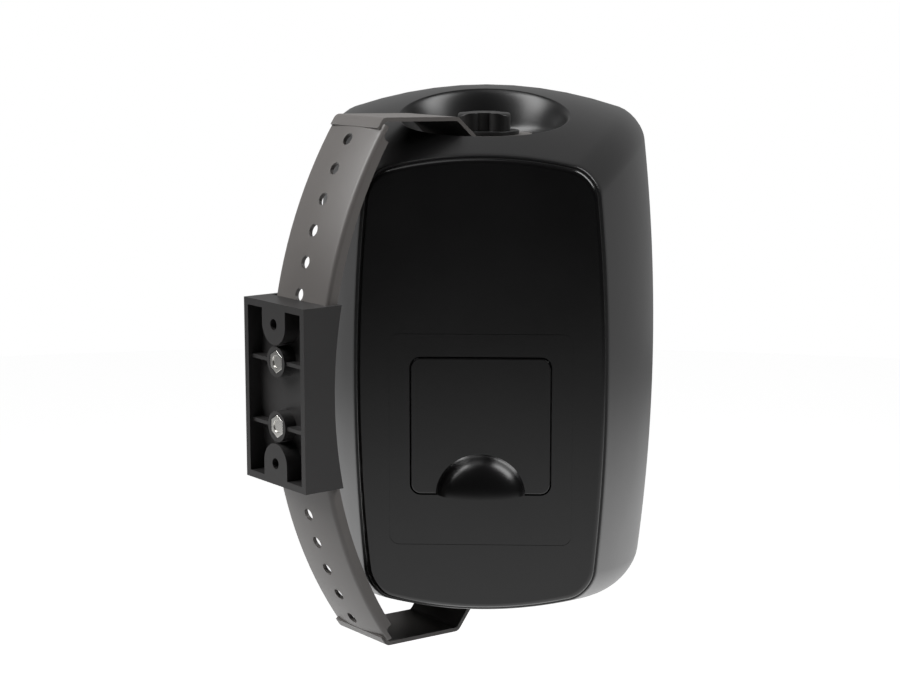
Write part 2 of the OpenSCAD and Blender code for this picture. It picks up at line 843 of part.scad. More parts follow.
module rear_shell() {
    color([0.11, 0.11, 0.12])
        in_cabinet()
            difference() {
                shell_outside();
                difference() {
                    shell_inside();
                    for (side = [-1, 1])
                        on_side(side) {
                            bowl_space(cab_wall);
                            swivel_boss();
                        }
                    recess_collar();
                    for (p = screw_places)
                        translate([p.x, 0, p.y])
                            rod_y(screw_boss_r, split_y, screw_boss_end);
                    board_places()
                        rod_y(board_post_r, board_y, panel_y - rear_wall + eps);
                }
                for (side = [-1, 1])
                    on_side(side) {
                        bowl_space(0);
                        swivel_boss_bore();
                    }
                recess_cut();
                panel_outline();
                for (p = screw_places)
                    translate([p.x, 0, p.y])
                        rod_y(screw_r + 0.05, split_y - 1, split_y + 22);
                board_places()
                    rod_y(1.3, board_y - 1, board_y + 7);
            }
}

module baffle_outside() {
    rings = [
        [baffle_back_y, section(baffle_back_y, 0)],
        [-widest_y + 2, section(-widest_y + 2, 0)],
        [-widest_y - 2, section(-widest_y, 0)],
        [blend(-widest_y, -front_y, 0.45), section(-widest_y, 0.6)],
        [blend(-widest_y, -front_y, 0.68), section(-widest_y, 1.9)],
        [blend(-widest_y, -front_y, 0.86), section(-widest_y, 4)],
        [blend(-widest_y, -front_y, 0.97), section(-widest_y, 6.6)],
        [-front_y, section(-widest_y, 8.6)]];
    skin(rings);
}

module front_baffle() {
    grille_seat_inset = grille_inset - 0.2;
    rim_depth = 5.5;
    color([0.11, 0.11, 0.12])
        in_cabinet()
            difference() {
                baffle_outside();
                section_slab(-front_y - 1, face_y, grille_seat_inset);
                // Hollow rim behind the front edge
                difference() {
                    section_slab(-front_y + rim_depth, baffle_back_y + 1, cab_wall + 0.6);
                    section_slab(-front_y, baffle_back_y + 2, grille_seat_inset - 2.5);
                }
                on_baffle(0, woofer_z)
                    translate([0, 0, -1])
                        cylinder(r = hole_r, h = baffle_t + 2);
                on_baffle(0, tweeter_z)
                    translate([0, 0, -1])
                        cylinder(r = tweeter_hole_r, h = baffle_t + 2);
                on_baffle(port_x, port_z)
                    translate([0, 0, -1])
                        cylinder(r = port_r + port_wall + 0.1, h = baffle_t + 2);
                for (p = screw_places)
                    translate([p.x, 0, p.y])
                        rod_y(screw_hole_r, face_y - 1, baffle_back_y + 1);
                driver_screw_places()
                    rod_y(screw_r + 0.05, face_y - 1, baffle_back_y + 1);
            }
}

module shell_gasket() {
    color([0.06, 0.06, 0.06])
        in_cabinet()
            difference() {
                slab(split_y - gasket_t, split_y)
                    polygon(section(split_y, 0.8));
                slab(split_y - gasket_t - 1, split_y + 1)
                    polygon(section(split_y, cab_wall));
            }
}

// Six-sided holes in staggered rows, over the flat part of the grille's face
module grille_holes() {
    edge = grille_inset + grille_pitch * 0.7;
    row_step = grille_pitch * sin(60);
    rows = ceil(cab_half_h / row_step);
    columns = ceil(cab_half_w / grille_pitch);
    for (row = [-rows:rows], column = [-columns:columns]) {
        x = (column + (row % 2 == 0 ? 0 : 0.5)) * grille_pitch;
        z = row * row_step;
        if (abs(x) < (cab_half_w - edge) * (1 - cab_side_bow * pow(z / cab_half_h, 2))
            && abs(z) < (cab_half_h - edge) * (1 - cab_top_bow * pow(x / cab_half_w, 2)))
            translate([x, z])
                circle(d = grille_hole / cos(30), $fn = 6);
    }
}

// Perforated sheet whose edge is folded back onto the baffle
module grille() {
    front = -front_y + 0.3;
    color([0.1, 0.1, 0.1])
        in_cabinet() {
            slab(front, front + grille_t)
                difference() {
                    polygon(section(-widest_y, grille_inset));
                    grille_holes();
                }
            difference() {
                section_slab(front + grille_t / 2, face_y, grille_inset);
                section_slab(front, face_y + 1, grille_inset + grille_t);
            }
        }
}

// Screw along Z with its head on the plane z = 0 and a cross slot
module screw(shaft_r, head_r, head_h, length) {
    slot_depth = 0.6 * head_h;
    translate([0, 0, slot_depth - head_h + eps])
        cylinder(r = shaft_r, h = length + head_h - slot_depth);
    translate([0, 0, -head_h])
        difference() {
            cylinder(r = head_r, h = head_h);
            for (turn = [0, 90])
                rotate([0, 0, turn])
                    translate([0, 0, slot_depth / 2 - eps])
                        cube([head_r, head_r / 4, slot_depth], center = true);
        }
}

module cabinet_screws() {
    color([0.2, 0.2, 0.2])
        in_cabinet()
            for (p = screw_places)
                on_baffle(p.x, p.y)
                    screw(screw_r, small_head_r, small_head_h, cabinet_screw_len);
}

// Swivel seats and knobs

module insert(side) {
    color([0.75, 0.6, 0.3])
        in_cabinet()
            on_side(side)
                translate([0, 0, bowl_floor_z - insert_len])
                    difference() {
                        cylinder(d = insert_d, h = insert_len);
                        translate([0, 0, -1])
                            cylinder(d = stud_d + 0.1, h = insert_len + 2);
                    }
}

module washer(side, r, z, thickness) {
    in_cabinet()
        on_side(side)
            translate([0, 0, z])
                difference() {
                    cylinder(r = r, h = thickness);
                    translate([0, 0, -1])
                        cylinder(d = stud_d + 0.8, h = thickness + 2);
                }
}

module rubber_washer(side) {
    color([0.04, 0.04, 0.04])
        washer(side, rubber_washer_r, bowl_floor_z, rubber_t);
}

module steel_washer(side) {
    color([0.2, 0.2, 0.2])
        washer(side, steel_washer_r, washer_z, washer_t);
}

// Three lobes with hollows between them
module knob_outline() {
    difference() {
        union() {
            circle(lobe_reach);
            for (turn = [30, 150, 270])
                rotate(turn)
                    translate([lobe_reach, 0])
                        circle(lobe_r);
        }
        for (turn = [90, 210, 330])
            rotate(turn)
                translate([lobe_reach + lobe_r * 0.72, 0])
                    circle(lobe_r * 0.72);
    }
}

module knob(side) {
    top_r = lobe_reach + lobe_r;
    color([0.12, 0.12, 0.12])
        in_cabinet()
            on_side(side)
                translate([0, 0, knob_z])
                    difference() {
                        intersection() {
                            linear_extrude(knob_h)
                                knob_outline();
                            rotate_extrude()
                                polygon(concat(
                                    [[0, 0], [top_r + eps, 0]],
                                    [for (i = [0:5]) let (t = 90 * i / 5)
                                        [top_r - knob_edge_r * (1 - cos(t)),
                                         knob_h - 0.6 - knob_edge_r * (1 - sin(t))]],
                                    [[0, knob_h]]));
                        }
                        translate([0, 0, -1])
                            cylinder(d = stud_d, h = knob_h - 2);
                    }
}

module knob_stud(side) {
    low = bowl_floor_z - stud_grip;
    color([0.7, 0.7, 0.72])
        in_cabinet()
            on_side(side)
                translate([0, 0, low])
                    cylinder(d = stud_d, h = knob_z + knob_h - 3 - low);
}

// Terminal cover: a plate with a hood over its cable notch, hinged along its top edge

// Half of a squashed ball that stands out of the cover, cut flat underneath
module hood_form(shrink) {
    half = hood_w / 2 - shrink;
    out = hood_out - shrink;
    steps = 10;
    rings = 9;
    rim_z = cover_bottom_z - cover_gap + 0.2;
    top_h = hood_h - shrink;
    points = [for (i = [0:rings]) for (j = [0:steps])
        let (lift = 90 * i / rings, turn = 180 * j / steps)
        [half * cos(turn) * cos(lift), panel_y - 1 + (out + 1) * sin(turn) * cos(lift),
         rim_z + top_h * sin(lift)]];
    n = steps + 1;
    hull_rings = [for (i = [0:rings - 2]) for (j = [0:steps - 1])
        let (a = i * n + j)
        for (f = [[a, a + n + 1, a + 1], [a, a + n, a + n + 1]]) f];
    last_row = [for (j = [0:steps - 1]) let (a = (rings - 1) * n + j) [a, rings * n, a + 1]];
    foot = [for (j = [0:steps]) j];
    back = concat([for (i = [rings - 1:-1:0]) i * n],
                  [for (i = [0:rings - 1]) i * n + steps],
                  [rings * n]);
    polyhedron(points, concat(hull_rings, last_row, [foot], [back]), convexity = 4);
}

module terminal_cover() {
    notch_w = hood_w - 12;
    notch_h = hood_h * 0.55;
    knuckle_r = hinge_pin_r + 0.5;
    edge_r = 2.4;
    middle_w = cover_w - 2 * hinge_end;
    color([0.1, 0.1, 0.11])
        in_cabinet()
            difference() {
                union() {
                    difference() {
                        translate([0, 0, recess_z])
                            slab(panel_y - cover_t, panel_y)
                                rounded_rect(cover_w, cover_h, cover_corner_r);
                        // Rounded outer top edge, which clears the shell as the cover opens
                        translate([0, panel_y - edge_r, cover_top_z - edge_r])
                            difference() {
                                translate([-cover_w, 0, 0])
                                    cube([2 * cover_w, edge_r + 1, edge_r + 1]);
                                rod_x(edge_r, 3 * cover_w);
                            }
                    }
                    hood_form(0);
                    translate([0, hinge_y, hinge_z])
                        intersection() {
                            rod_x(knuckle_r, cover_w - 3);
                            difference() {
                                cube([cover_w, 10, 10], center = true);
                                cube([middle_w, 12, 12], center = true);
                            }
                        }
                    translate([0, hinge_y, hinge_z])
                        rod_x(hinge_pin_r, cover_w + 2 * hinge_pin_len);
                }
                // Pins are only at the two ends
                translate([0, hinge_y - 5, hinge_z])
                    cube([middle_w, 10 + 2 * (hinge_depth - cover_t), 20], center = true);
                intersection() {
                    hood_form(hood_wall);
                    translate([-far / 2, panel_y - eps, -far])
                        cube([far, far, far + cover_top_z]);
                }
                translate([-notch_w / 2, panel_y - cover_t - 1, cover_bottom_z - 2])
                    cube([notch_w, cover_t + 1.5, notch_h + 2]);
            }
}

// Terminal cup

module cup_screw_places() {
    for (x = [-1, 1], z = [flange_low_z + 2.6, flange_top_z - 2.6])
        translate([x * (cup_flange_half_w - 3), 0, z])
            children();
}

module terminal_cup() {
    color([0.16, 0.16, 0.17])
        in_cabinet()
            difference() {
                union() {
                    translate([0, 0, flange_z])
                        slab(flange_y, flange_y + flange_t)
                            rounded_rect(2 * cup_flange_half_w, flange_h, 4);
                    translate([0, 0, cup_z])
                        slab(cup_floor_y - cup_wall, flange_y + eps)
                            rounded_rect(2 * (cup_half_w + cup_wall), cup_h + 2 * cup_wall, 2.5);
                }
                difference() {
                    translate([0, 0, cup_z])
                        slab(cup_floor_y, panel_y)
                            rounded_rect(2 * cup_half_w, cup_h, 1.5);
                    translate([0, 0, cup_z])
                        slab(cup_floor_y - eps, block_y)
                            rounded_rect(2 * cup_half_w - 4, cup_h - 8, 2);
                }
                for (side = [-1, 1])
                    translate([side * terminal_pitch / 2, 0, 0]) {
                        translate([-lever_w / 2 - lever_side_gap, cup_floor_y + 0.5,
                                   lever_pivot_z - lever_swing_r])
                            cube([lever_w + 2 * lever_side_gap, lever_pocket_depth,
                                  lever_swing_r + lever_pocket_top]);
                        translate([0, lever_pivot_y, lever_pivot_z])
                            rod_x(lever_pin_r + hinge_gap, lever_w + 3.4);
                        translate([0, 0, lever_pivot_z - lever_len - 5])
                            rod_y(wire_hole_r, cup_floor_y + 1, block_y + 1);
                    }
                cup_screw_places()
                    rod_y(cup_screw_r + 0.3, ledge_y, flange_y + flange_t + 1);
            }
}

module terminal_gasket() {
    color([0.05, 0.05, 0.05])
        in_cabinet()
            difference() {
                translate([0, 0, flange_z])
                    slab(ledge_y, ledge_y + cup_gasket_t)
                        rounded_rect(2 * cup_flange_half_w, flange_h, 4);
                translate([0, 0, cup_z])
                    slab(ledge_y - 1, ledge_y + 2)
                        cup_opening();
                cup_screw_places()
                    rod_y(cup_screw_r + 0.3, ledge_y - 1, ledge_y + 3);
            }
}

module terminal_screws() {
    color([0.6, 0.6, 0.6])
        in_cabinet()
            cup_screw_places()
                translate([0, flange_y + flange_t, 0])
                    rotate([90, 0, 0])
                        screw(cup_screw_r, 2.5, 1.6, cup_gasket_t + flange_t + 4);
}

module terminal_lever(side, tint) {
    color(tint)
        in_cabinet()
            translate([side * terminal_pitch / 2, lever_pivot_y, lever_pivot_z]) {
                rotate([90, 0, 90])
                    linear_extrude(lever_w, center = true) {
                        circle(lever_hub_r);
                        polygon([[-1.2, 1.6], [2, 0], [lever_tip_out + 0.5, -lever_len + 1.5],
                                 [lever_tip_out, -lever_len], [2, -lever_len], [0, -lever_len * 0.6],
                                 [-1.4, -1.4]]);
                    }
                rod_x(lever_pin_r, lever_w + 2.8);
            }
}

// Crossover

module on_board(x, z) {
    translate([x, board_y - board_t, board_z + z])
        children();
}

module crossover_board() {
    color([0.1, 0.35, 0.2])
        in_cabinet()
            difference() {
                on_board(-board_w / 2, -board_h / 2)
                    cube([board_w, board_t, board_h]);
                board_places()
                    rod_y(board_hole_r, board_y - 2 * board_t, board_y + 1);
            }
}

// Wire wound on a bobbin with two cheeks
module crossover_coil() {
    cheek_t = 1.5;
    color([0.72, 0.4, 0.2])
        in_cabinet()
            on_board(board_margin + 2 + choke_r - board_w / 2, -2)
                rotate([90, 0, 0])
                    difference() {
                        union() {
                            cylinder(r = choke_r, h = cheek_t);
                            cylinder(r = choke_r - 1.5, h = choke_h);
                            translate([0, 0, choke_h - cheek_t])
                                cylinder(r = choke_r, h = cheek_t);
                        }
                        translate([0, 0, -1])
                            cylinder(r = 0.4 * choke_r, h = choke_h + 2);
                    }
}

module crossover_capacitors() {
    board_shares = [-0.2, 0.16];
    edge_gap = 7;
    color([0.85, 0.8, 0.6])
        in_cabinet()
            for (share = board_shares)
                on_board((board_w - capacitor_len) / 2 - edge_gap, share * board_h)
                    translate([0, -capacitor_r, 0])
                        rod_x(capacitor_r, capacitor_len);
}

module crossover_resistor() {
    resistor_size = [24, 8, 7];
    color([0.9, 0.9, 0.88])
        in_cabinet()
            on_board(6, 16.5)
                translate([0, -resistor_size.y, 0])
                    cube(resistor_size);
}

module crossover_screws() {
    color([0.6, 0.6, 0.6])
        in_cabinet()
            board_places()
                translate([0, board_y - board_t, 0])
                    rotate([-90, 0, 0])
                        screw(board_hole_r - 0.25, 2.6, 1.6, board_t + 4.4);
}

// Drivers

module driver_screw_places() {
    for (turn = [45, 135, 225, 315]) {
        translate([woofer_screw_r * cos(turn), 0, woofer_z + woofer_screw_r * sin(turn)])
            children();
        translate([tweeter_screw_r * cos(turn), 0, tweeter_z + tweeter_screw_r * sin(turn)])
            children();
    }
}

// Pressed basket: a flange, a cone of wide windows and a seat for the magnet
module woofer_basket() {
    color([0.2, 0.2, 0.22])
        in_cabinet()
            on_baffle(0, woofer_z)
                difference() {
                    rotate_extrude($fn = 96)
                        polygon([
                            [woofer_r, 0], [woofer_r, -flange_sheet], [hole_r - 3, -flange_sheet],
                            [hole_r - 5, -1], [hole_r - 13, magnet_z - 15], [hole_r - 18, magnet_z - 13],
                            [hole_r - 21, magnet_z - 1.5], [18, magnet_z - 1.5], [18, magnet_z],
                            [hole_r - 19.5, magnet_z], [hole_r - 16.5, magnet_z - 11.4],
                            [hole_r - 11.5, magnet_z - 14], [hole_r - 3.5, 0]]);
                    for (turn = [0, 90, 180, 270])
                        rotate([0, 0, turn])
                            rotate_extrude(angle = 58)
                                translate([hole_r - 28, 4])
                                    square([28, magnet_z - 22]);
                    for (turn = [45, 135, 225, 315])
                        rotate([0, 0, turn])
                            translate([woofer_screw_r, 0, -flange_sheet - 1])
                                cylinder(r = screw_hole_r, h = flange_sheet + 2);
                }
}

module woofer_top_plate() {
    color([0.6, 0.6, 0.62])
        in_cabinet()
            on_baffle(0, woofer_z)
                translate([0, 0, magnet_z])
                    difference() {
                        cylinder(r = magnet_r - 8, h = plate_t);
                        translate([0, 0, -1])
                            cylinder(r = coil_r + air_gap, h = plate_t + 2);
                    }
}

module woofer_magnet() {
    color([0.15, 0.15, 0.15])
        in_cabinet()
            on_baffle(0, woofer_z)
                translate([0, 0, magnet_z + plate_t])
                    difference() {
                        cylinder(r = magnet_r, h = magnet_t);
                        translate([0, 0, -1])
                            cylinder(r = magnet_r - 20, h = magnet_t + 2);
                    }
}

// Pole in one piece with the rear plate, bored through for air
module woofer_yoke() {
    rear_z = magnet_z + plate_t + magnet_t;
    color([0.6, 0.6, 0.62])
        in_cabinet()
            on_baffle(0, woofer_z)
                difference() {
                    union() {
                        translate([0, 0, magnet_z])
                            cylinder(r = coil_r - air_gap, h = rear_z - magnet_z + 1);
                        translate([0, 0, rear_z])
                            cylinder(r = magnet_r - 4, h = plate_t);
                    }
                    translate([0, 0, magnet_z - 1])
                        cylinder(r = 4, h = rear_z - magnet_z + plate_t + 2);
                }
}

// Depth of the cone's front face at a share of the way from its foot to its edge
function cone_z(share) = blend(cone_foot_z, 0, pow(share, 0.85));

module woofer_cone() {
    foot_r = coil_r + coil_wall;
    front = [for (i = [0:8]) [blend(foot_r, cone_edge_r, i / 8), cone_z(i / 8)]];
    color([0.13, 0.13, 0.13])
        in_cabinet()
            on_baffle(0, woofer_z)
                rotate_extrude($fn = 96)
                    polygon(concat(front, [for (i = [8:-1:0]) front[i] + [0, cone_t]]));
}

module woofer_dust_cap() {
    foot = cone_z((cap_r - coil_r) / (cone_edge_r - coil_r)) - 0.1;
    color([0.1, 0.1, 0.1])
        in_cabinet()
            on_baffle(0, woofer_z)
                rotate_extrude()
                    polygon(concat(
                        [for (i = [0:8]) let (t = 90 * i / 8) [cap_r * cos(t), foot - cap_h * sin(t)]],
                        [for (i = [8:-1:0]) let (t = 90 * i / 8)
                            [(cap_r - cap_t) * cos(t), foot - (cap_h - cap_t) * sin(t)]]));
}

// Coil wound on a thin tube that stands in the magnet's air gap
module woofer_voice_coil() {
    tube_h = magnet_z + plate_t + 3 - cone_foot_z;
    color([0.7, 0.4, 0.2])
        in_cabinet()
            on_baffle(0, woofer_z)
                translate([0, 0, cone_foot_z])
                    difference() {
                        cylinder(r = coil_r + coil_wall, h = tube_h);
                        translate([0, 0, -1])
                            cylinder(r = coil_r - coil_wall, h = tube_h + 2);
                    }
}

// Half roll of rubber between the cone and the basket
module woofer_surround() {
    inner = cone_edge_r - 1.5;
    outer = hole_r + 0.4;
    sheet = 0.7;
    mid = (inner + hole_r) / 2;
    roll = (hole_r - inner) / 2 - 1.2;
    base = -flange_sheet - 0.1;
    hollow = roll - sheet;
    color([0.05, 0.05, 0.05])
        in_cabinet()
            on_baffle(0, woofer_z)
                rotate_extrude($fn = 96)
                    polygon(concat(
                        [[inner, -0.1], [inner, -0.1 - sheet]],
                        [for (i = [1:8]) let (t = 180 - 20 * i) [mid + roll * cos(t), base - roll * sin(t)]],
                        [[mid + roll, base - sheet], [outer, base - sheet],
                         [outer, base], [mid + hollow, base]],
                        [for (i = [1:8]) let (t = 20 * i) [mid + hollow * cos(t), base - hollow * sin(t)]],
                        [[mid - hollow, -0.1]]));
}

// Corrugated centring disc between the voice coil and the basket
module woofer_spider() {
    inner = coil_r + 0.2;
    outer = hole_r - 20;
    steps = 24;
    wave = [for (i = [0:steps])
        [blend(inner, outer, i / steps), magnet_z - 12 + 1.1 * sin(360 * 4 * i / steps)]];
    color([0.75, 0.65, 0.35])
        in_cabinet()
            on_baffle(0, woofer_z)
                rotate_extrude($fn = 72)
                    polygon(concat(wave, [for (i = [steps:-1:0]) wave[i] + [0, 0.7]]));
}

module woofer_gasket() {
    color([0.07, 0.07, 0.07])
        in_cabinet()
            on_baffle(0, woofer_z)
                translate([0, 0, -flange_sheet - 1.5])
                    difference() {
                        cylinder(r = woofer_r - 0.5, h = 1.5, $fn = 96);
                        translate([0, 0, -1])
                            cylinder(r = hole_r + 1.6, h = 4, $fn = 96);
                        for (turn = [45, 135, 225, 315])
                            rotate([0, 0, turn])
                                translate([woofer_screw_r, 0, -1])
                                    cylinder(r = 3.6, h = 4);
                    }
}

module woofer_screws() {
    color([0.2, 0.2, 0.2])
        in_cabinet()
            for (turn = [45, 135, 225, 315])
                translate([woofer_screw_r * cos(turn), 0, woofer_z + woofer_screw_r * sin(turn)])
                    on_baffle(0, 0)
                        translate([0, 0, -flange_sheet])
                            screw(screw_r, small_head_r - 0.4, small_head_h - 0.4, woofer_screw_len);
}

module tweeter_faceplate() {
    rim_t = 3;
    tube_r = tweeter_hole_r - 0.4;
    color([0.12, 0.12, 0.12])
        in_cabinet()
            on_baffle(0, tweeter_z)
                difference() {
                    rotate_extrude($fn = 96)
                        polygon([[dome_seat_r, 0.5], [dome_seat_r, -0.6], [tweeter_r - 13, -rim_t],
                                 [tweeter_r - 1, -rim_t], [tweeter_r, 0.8 - rim_t], [tweeter_r, 0],
                                 [tube_r, 0], [tube_r, faceplate_depth], [dome_seat_r, faceplate_depth]]);
                    for (turn = [45, 135, 225, 315])
                        rotate([0, 0, turn])
                            translate([tweeter_screw_r, 0, -rim_t - 1])
                                cylinder(r = screw_hole_r, h = rim_t + 3);
                }
}

module tweeter_dome() {
    color([0.08, 0.08, 0.08])
        in_cabinet()
            on_baffle(0, tweeter_z)
                rotate_extrude()
                    polygon(concat(
                        [[dome_seat_r - 0.4, 1.2]],
                        [for (i = [0:8]) let (t = 90 * i / 8) [dome_r * cos(t), 0.6 - dome_h * sin(t)]],
                        [for (i = [8:-1:0]) let (t = 90 * i / 8)
                            [(dome_r - 0.5) * cos(t), 1.2 - (dome_h + 0.1) * sin(t)]]));
}

module tweeter_magnet() {
    color([0.2, 0.2, 0.2])
        in_cabinet()
            on_baffle(0, tweeter_z)
                translate([0, 0, faceplate_depth])
                    cylinder(r = tweeter_magnet_r, h = tweeter_magnet_t);
}

module tweeter_screws() {
    color([0.2, 0.2, 0.2])
        in_cabinet()
            for (turn = [45, 135, 225, 315])
                translate([tweeter_screw_r * cos(turn), 0, tweeter_z + tweeter_screw_r * sin(turn)])
                    on_baffle(0, 0)
                        translate([0, 0, -3])
                            screw(screw_r, small_head_r - 0.4, small_head_h - 0.4, tweeter_screw_len);
}

// Tube with a flared mouth whose rim lies on the baffle
module reflex_port() {
    outer_r = port_r + port_wall;
    color([0.1, 0.1, 0.1])
        in_cabinet()
            on_baffle(port_x, port_z)
                rotate_extrude()
                    polygon(concat(
                        [for (i = [0:4]) let (t = 90 * i / 4)
                            [port_r + port_flare * (1 - sin(t)), port_flare * (1 - cos(t)) - 1.5]],
                        [[port_r, port_len], [outer_r, port_len], [outer_r, 0], [port_r + port_flare, 0]]));
}

wall_mount();
strap();
strap_screws();
strap_nuts();
rear_shell();
front_baffle();
shell_gasket();
grille();
cabinet_screws();
insert(1);  // upper_insert
insert(-1);  // lower_insert
rubber_washer(1);  // upper_rubber_washer
rubber_washer(-1);  // lower_rubber_washer
steel_washer(1);  // upper_steel_washer
steel_washer(-1);  // lower_steel_washer
knob(1);  // upper_knob
knob(-1);  // lower_knob
knob_stud(1);  // upper_knob_stud
knob_stud(-1);  // lower_knob_stud
terminal_cover();
terminal_cup();
terminal_gasket();
terminal_screws();
terminal_lever(1, [0.7, 0.08, 0.08]);  // terminal_lever_red
terminal_lever(-1, [0.06, 0.06, 0.06]);  // terminal_lever_black
crossover_board();
crossover_coil();
crossover_capacitors();
crossover_resistor();
crossover_screws();
woofer_basket();
woofer_magnet();
woofer_top_plate();
woofer_yoke();
woofer_cone();
woofer_dust_cap();
woofer_voice_coil();
woofer_surround();
woofer_spider();
woofer_gasket();
woofer_screws();
tweeter_faceplate();
tweeter_dome();
tweeter_magnet();
tweeter_screws();
reflex_port();
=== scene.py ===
"""Looks of the wall speaker: camera, light, finishes and the fine forms that the solids leave plain."""

import json
import math

import bmesh
import bpy
from mathutils import Matrix, Vector


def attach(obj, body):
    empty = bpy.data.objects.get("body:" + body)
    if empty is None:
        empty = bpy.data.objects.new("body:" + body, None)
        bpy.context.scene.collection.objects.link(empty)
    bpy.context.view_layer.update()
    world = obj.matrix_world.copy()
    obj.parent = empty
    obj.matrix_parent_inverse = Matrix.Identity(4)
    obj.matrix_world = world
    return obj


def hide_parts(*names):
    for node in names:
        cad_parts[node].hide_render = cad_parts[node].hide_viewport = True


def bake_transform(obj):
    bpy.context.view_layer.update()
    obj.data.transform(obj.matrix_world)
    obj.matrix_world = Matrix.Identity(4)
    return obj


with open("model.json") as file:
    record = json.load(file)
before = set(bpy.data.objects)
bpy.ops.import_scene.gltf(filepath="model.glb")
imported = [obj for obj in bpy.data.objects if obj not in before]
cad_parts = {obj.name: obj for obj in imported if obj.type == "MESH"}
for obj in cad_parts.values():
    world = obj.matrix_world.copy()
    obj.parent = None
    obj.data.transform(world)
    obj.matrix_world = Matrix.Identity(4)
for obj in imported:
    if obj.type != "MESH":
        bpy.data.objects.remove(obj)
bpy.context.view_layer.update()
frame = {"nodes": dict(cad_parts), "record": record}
MM = 0.001
record = frame["record"]
SLOT_OF = {s["node"]: s["material_slot"] for s in record["subparts"]}
BODY_OF = {n: body for body, nodes in record["behaviour"]["bodies"].items() for n in nodes}

# The cabinet stands turned on its knobs. Its own frame has the rear panel towards +Y and is in millimetres.
SWIVEL = math.radians(49.8)
PIVOT = Vector((0, -0.1305, 0.001))
IN_CABINET = Matrix.Translation(PIVOT) @ Matrix.Rotation(SWIVEL, 4, "Z") @ Matrix.Scale(MM, 4)
REARWARD = Vector((-math.sin(SWIVEL), math.cos(SWIVEL), 0))
PANEL_Y, WIDEST_Y, SPLIT_Y, SLOPE_Y = 69.2, 70.0, -62.0, 67.2


# ---------------------------------------------------------------- node helpers

def math_node(tree, operation, *values):
    """Result of a math node on sockets or plain numbers."""
    node = tree.nodes.new("ShaderNodeMath")
    node.operation = operation
    for socket, value in zip(node.inputs, values):
        if isinstance(value, bpy.types.NodeSocket):
            tree.links.new(value, socket)
        else:
            socket.default_value = value
    return node.outputs[0]


def range_node(tree, value, source, target):
    """A node that maps a value from the source range to the target range."""
    node = tree.nodes.new("ShaderNodeMapRange")
    for socket, number in zip(("From Min", "From Max", "To Min", "To Max"), (*source, *target)):
        node.inputs[socket].default_value = number
    tree.links.new(value, node.inputs["Value"])
    return node


def along(tree, place, direction):
    """How far a place lies along a direction."""
    node = tree.nodes.new("ShaderNodeVectorMath")
    node.operation = "DOT_PRODUCT"
    tree.links.new(place, node.inputs[0])
    node.inputs[1].default_value = direction
    return node.outputs["Value"]


# ---------------------------------------------------------------- materials

DRIFT_SCALE, DRIFT_DETAIL, FINE_DETAIL = 22, 4, 3
BRUSH_STRETCH = 0.04
# The smoother rear panel is a band: its middle's depth under the panel's face, and its reach to each side.
PANEL_BAND_IN, PANEL_BAND_HALF = 0.6, 0.9


def material(slot, color, rough, grain, depth, metal=0.0, spread=0.25, drift=0.06,
             kind="noise", coat=0.0, sheen=0.0, panel_rough=None):
    """A finish with slow colour drift, uneven gloss and a fine bump. grain and depth are in millimetres.

    panel_rough is the roughness on the flat rear panel, which is moulded smoother than the rest.
    """
    made = bpy.data.materials.new(slot)
    made.use_nodes = True
    tree = made.node_tree
    nodes, links = tree.nodes, tree.links
    shader = nodes["Principled BSDF"]
    place = nodes.new("ShaderNodeTexCoord").outputs["Object"]

    slow = nodes.new("ShaderNodeTexNoise")
    slow.inputs["Scale"].default_value = DRIFT_SCALE
    slow.inputs["Detail"].default_value = DRIFT_DETAIL
    links.new(place, slow.inputs["Vector"])
    tone = nodes.new("ShaderNodeMixRGB")
    tone.inputs["Color1"].default_value = [c * (1 - spread) for c in color] + [1]
    tone.inputs["Color2"].default_value = [min(1, c * (1 + spread)) for c in color] + [1]
    links.new(slow.outputs["Fac"], tone.inputs["Fac"])
    links.new(tone.outputs["Color"], shader.inputs["Base Color"])

    gloss = range_node(tree, slow.outputs["Fac"], (0, 1), (rough - drift, rough + drift))
    roughness = gloss.outputs["Result"]
    if panel_rough is not None:
        panel_at = PIVOT.dot(REARWARD) + (PANEL_Y - PANEL_BAND_IN) * MM
        on_panel = math_node(tree, "COMPARE", along(tree, place, REARWARD), panel_at, PANEL_BAND_HALF * MM)
        roughness = math_node(tree, "MULTIPLY_ADD", on_panel, panel_rough - rough, roughness)
    links.new(roughness, shader.inputs["Roughness"])

    if kind == "brushed":
        stretch = nodes.new("ShaderNodeMapping")
        stretch.inputs["Scale"].default_value = (1, 1, BRUSH_STRETCH)
        links.new(place, stretch.inputs["Vector"])
        fine = nodes.new("ShaderNodeTexNoise")
        links.new(stretch.outputs["Vector"], fine.inputs["Vector"])
        height = fine.outputs["Fac"]
    elif kind == "weave":
        fine = nodes.new("ShaderNodeTexVoronoi")
        links.new(place, fine.inputs["Vector"])
        height = fine.outputs["Distance"]
    else:
        fine = nodes.new("ShaderNodeTexNoise")
        fine.inputs["Detail"].default_value = FINE_DETAIL
        links.new(place, fine.inputs["Vector"])
        height = fine.outputs["Fac"]
    fine.inputs["Scale"].default_value = 1000 / grain
    bump = nodes.new("ShaderNodeBump")
    bump.inputs["Strength"].default_value = 1
    bump.inputs["Distance"].default_value = depth * MM
    links.new(height, bump.inputs["Height"])
    links.new(bump.outputs["Normal"], shader.inputs["Normal"])

    shader.inputs["Metallic"].default_value = metal
    shader.inputs["Coat Weight"].default_value = coat
    shader.inputs["Sheen Weight"].default_value = sheen
    return made


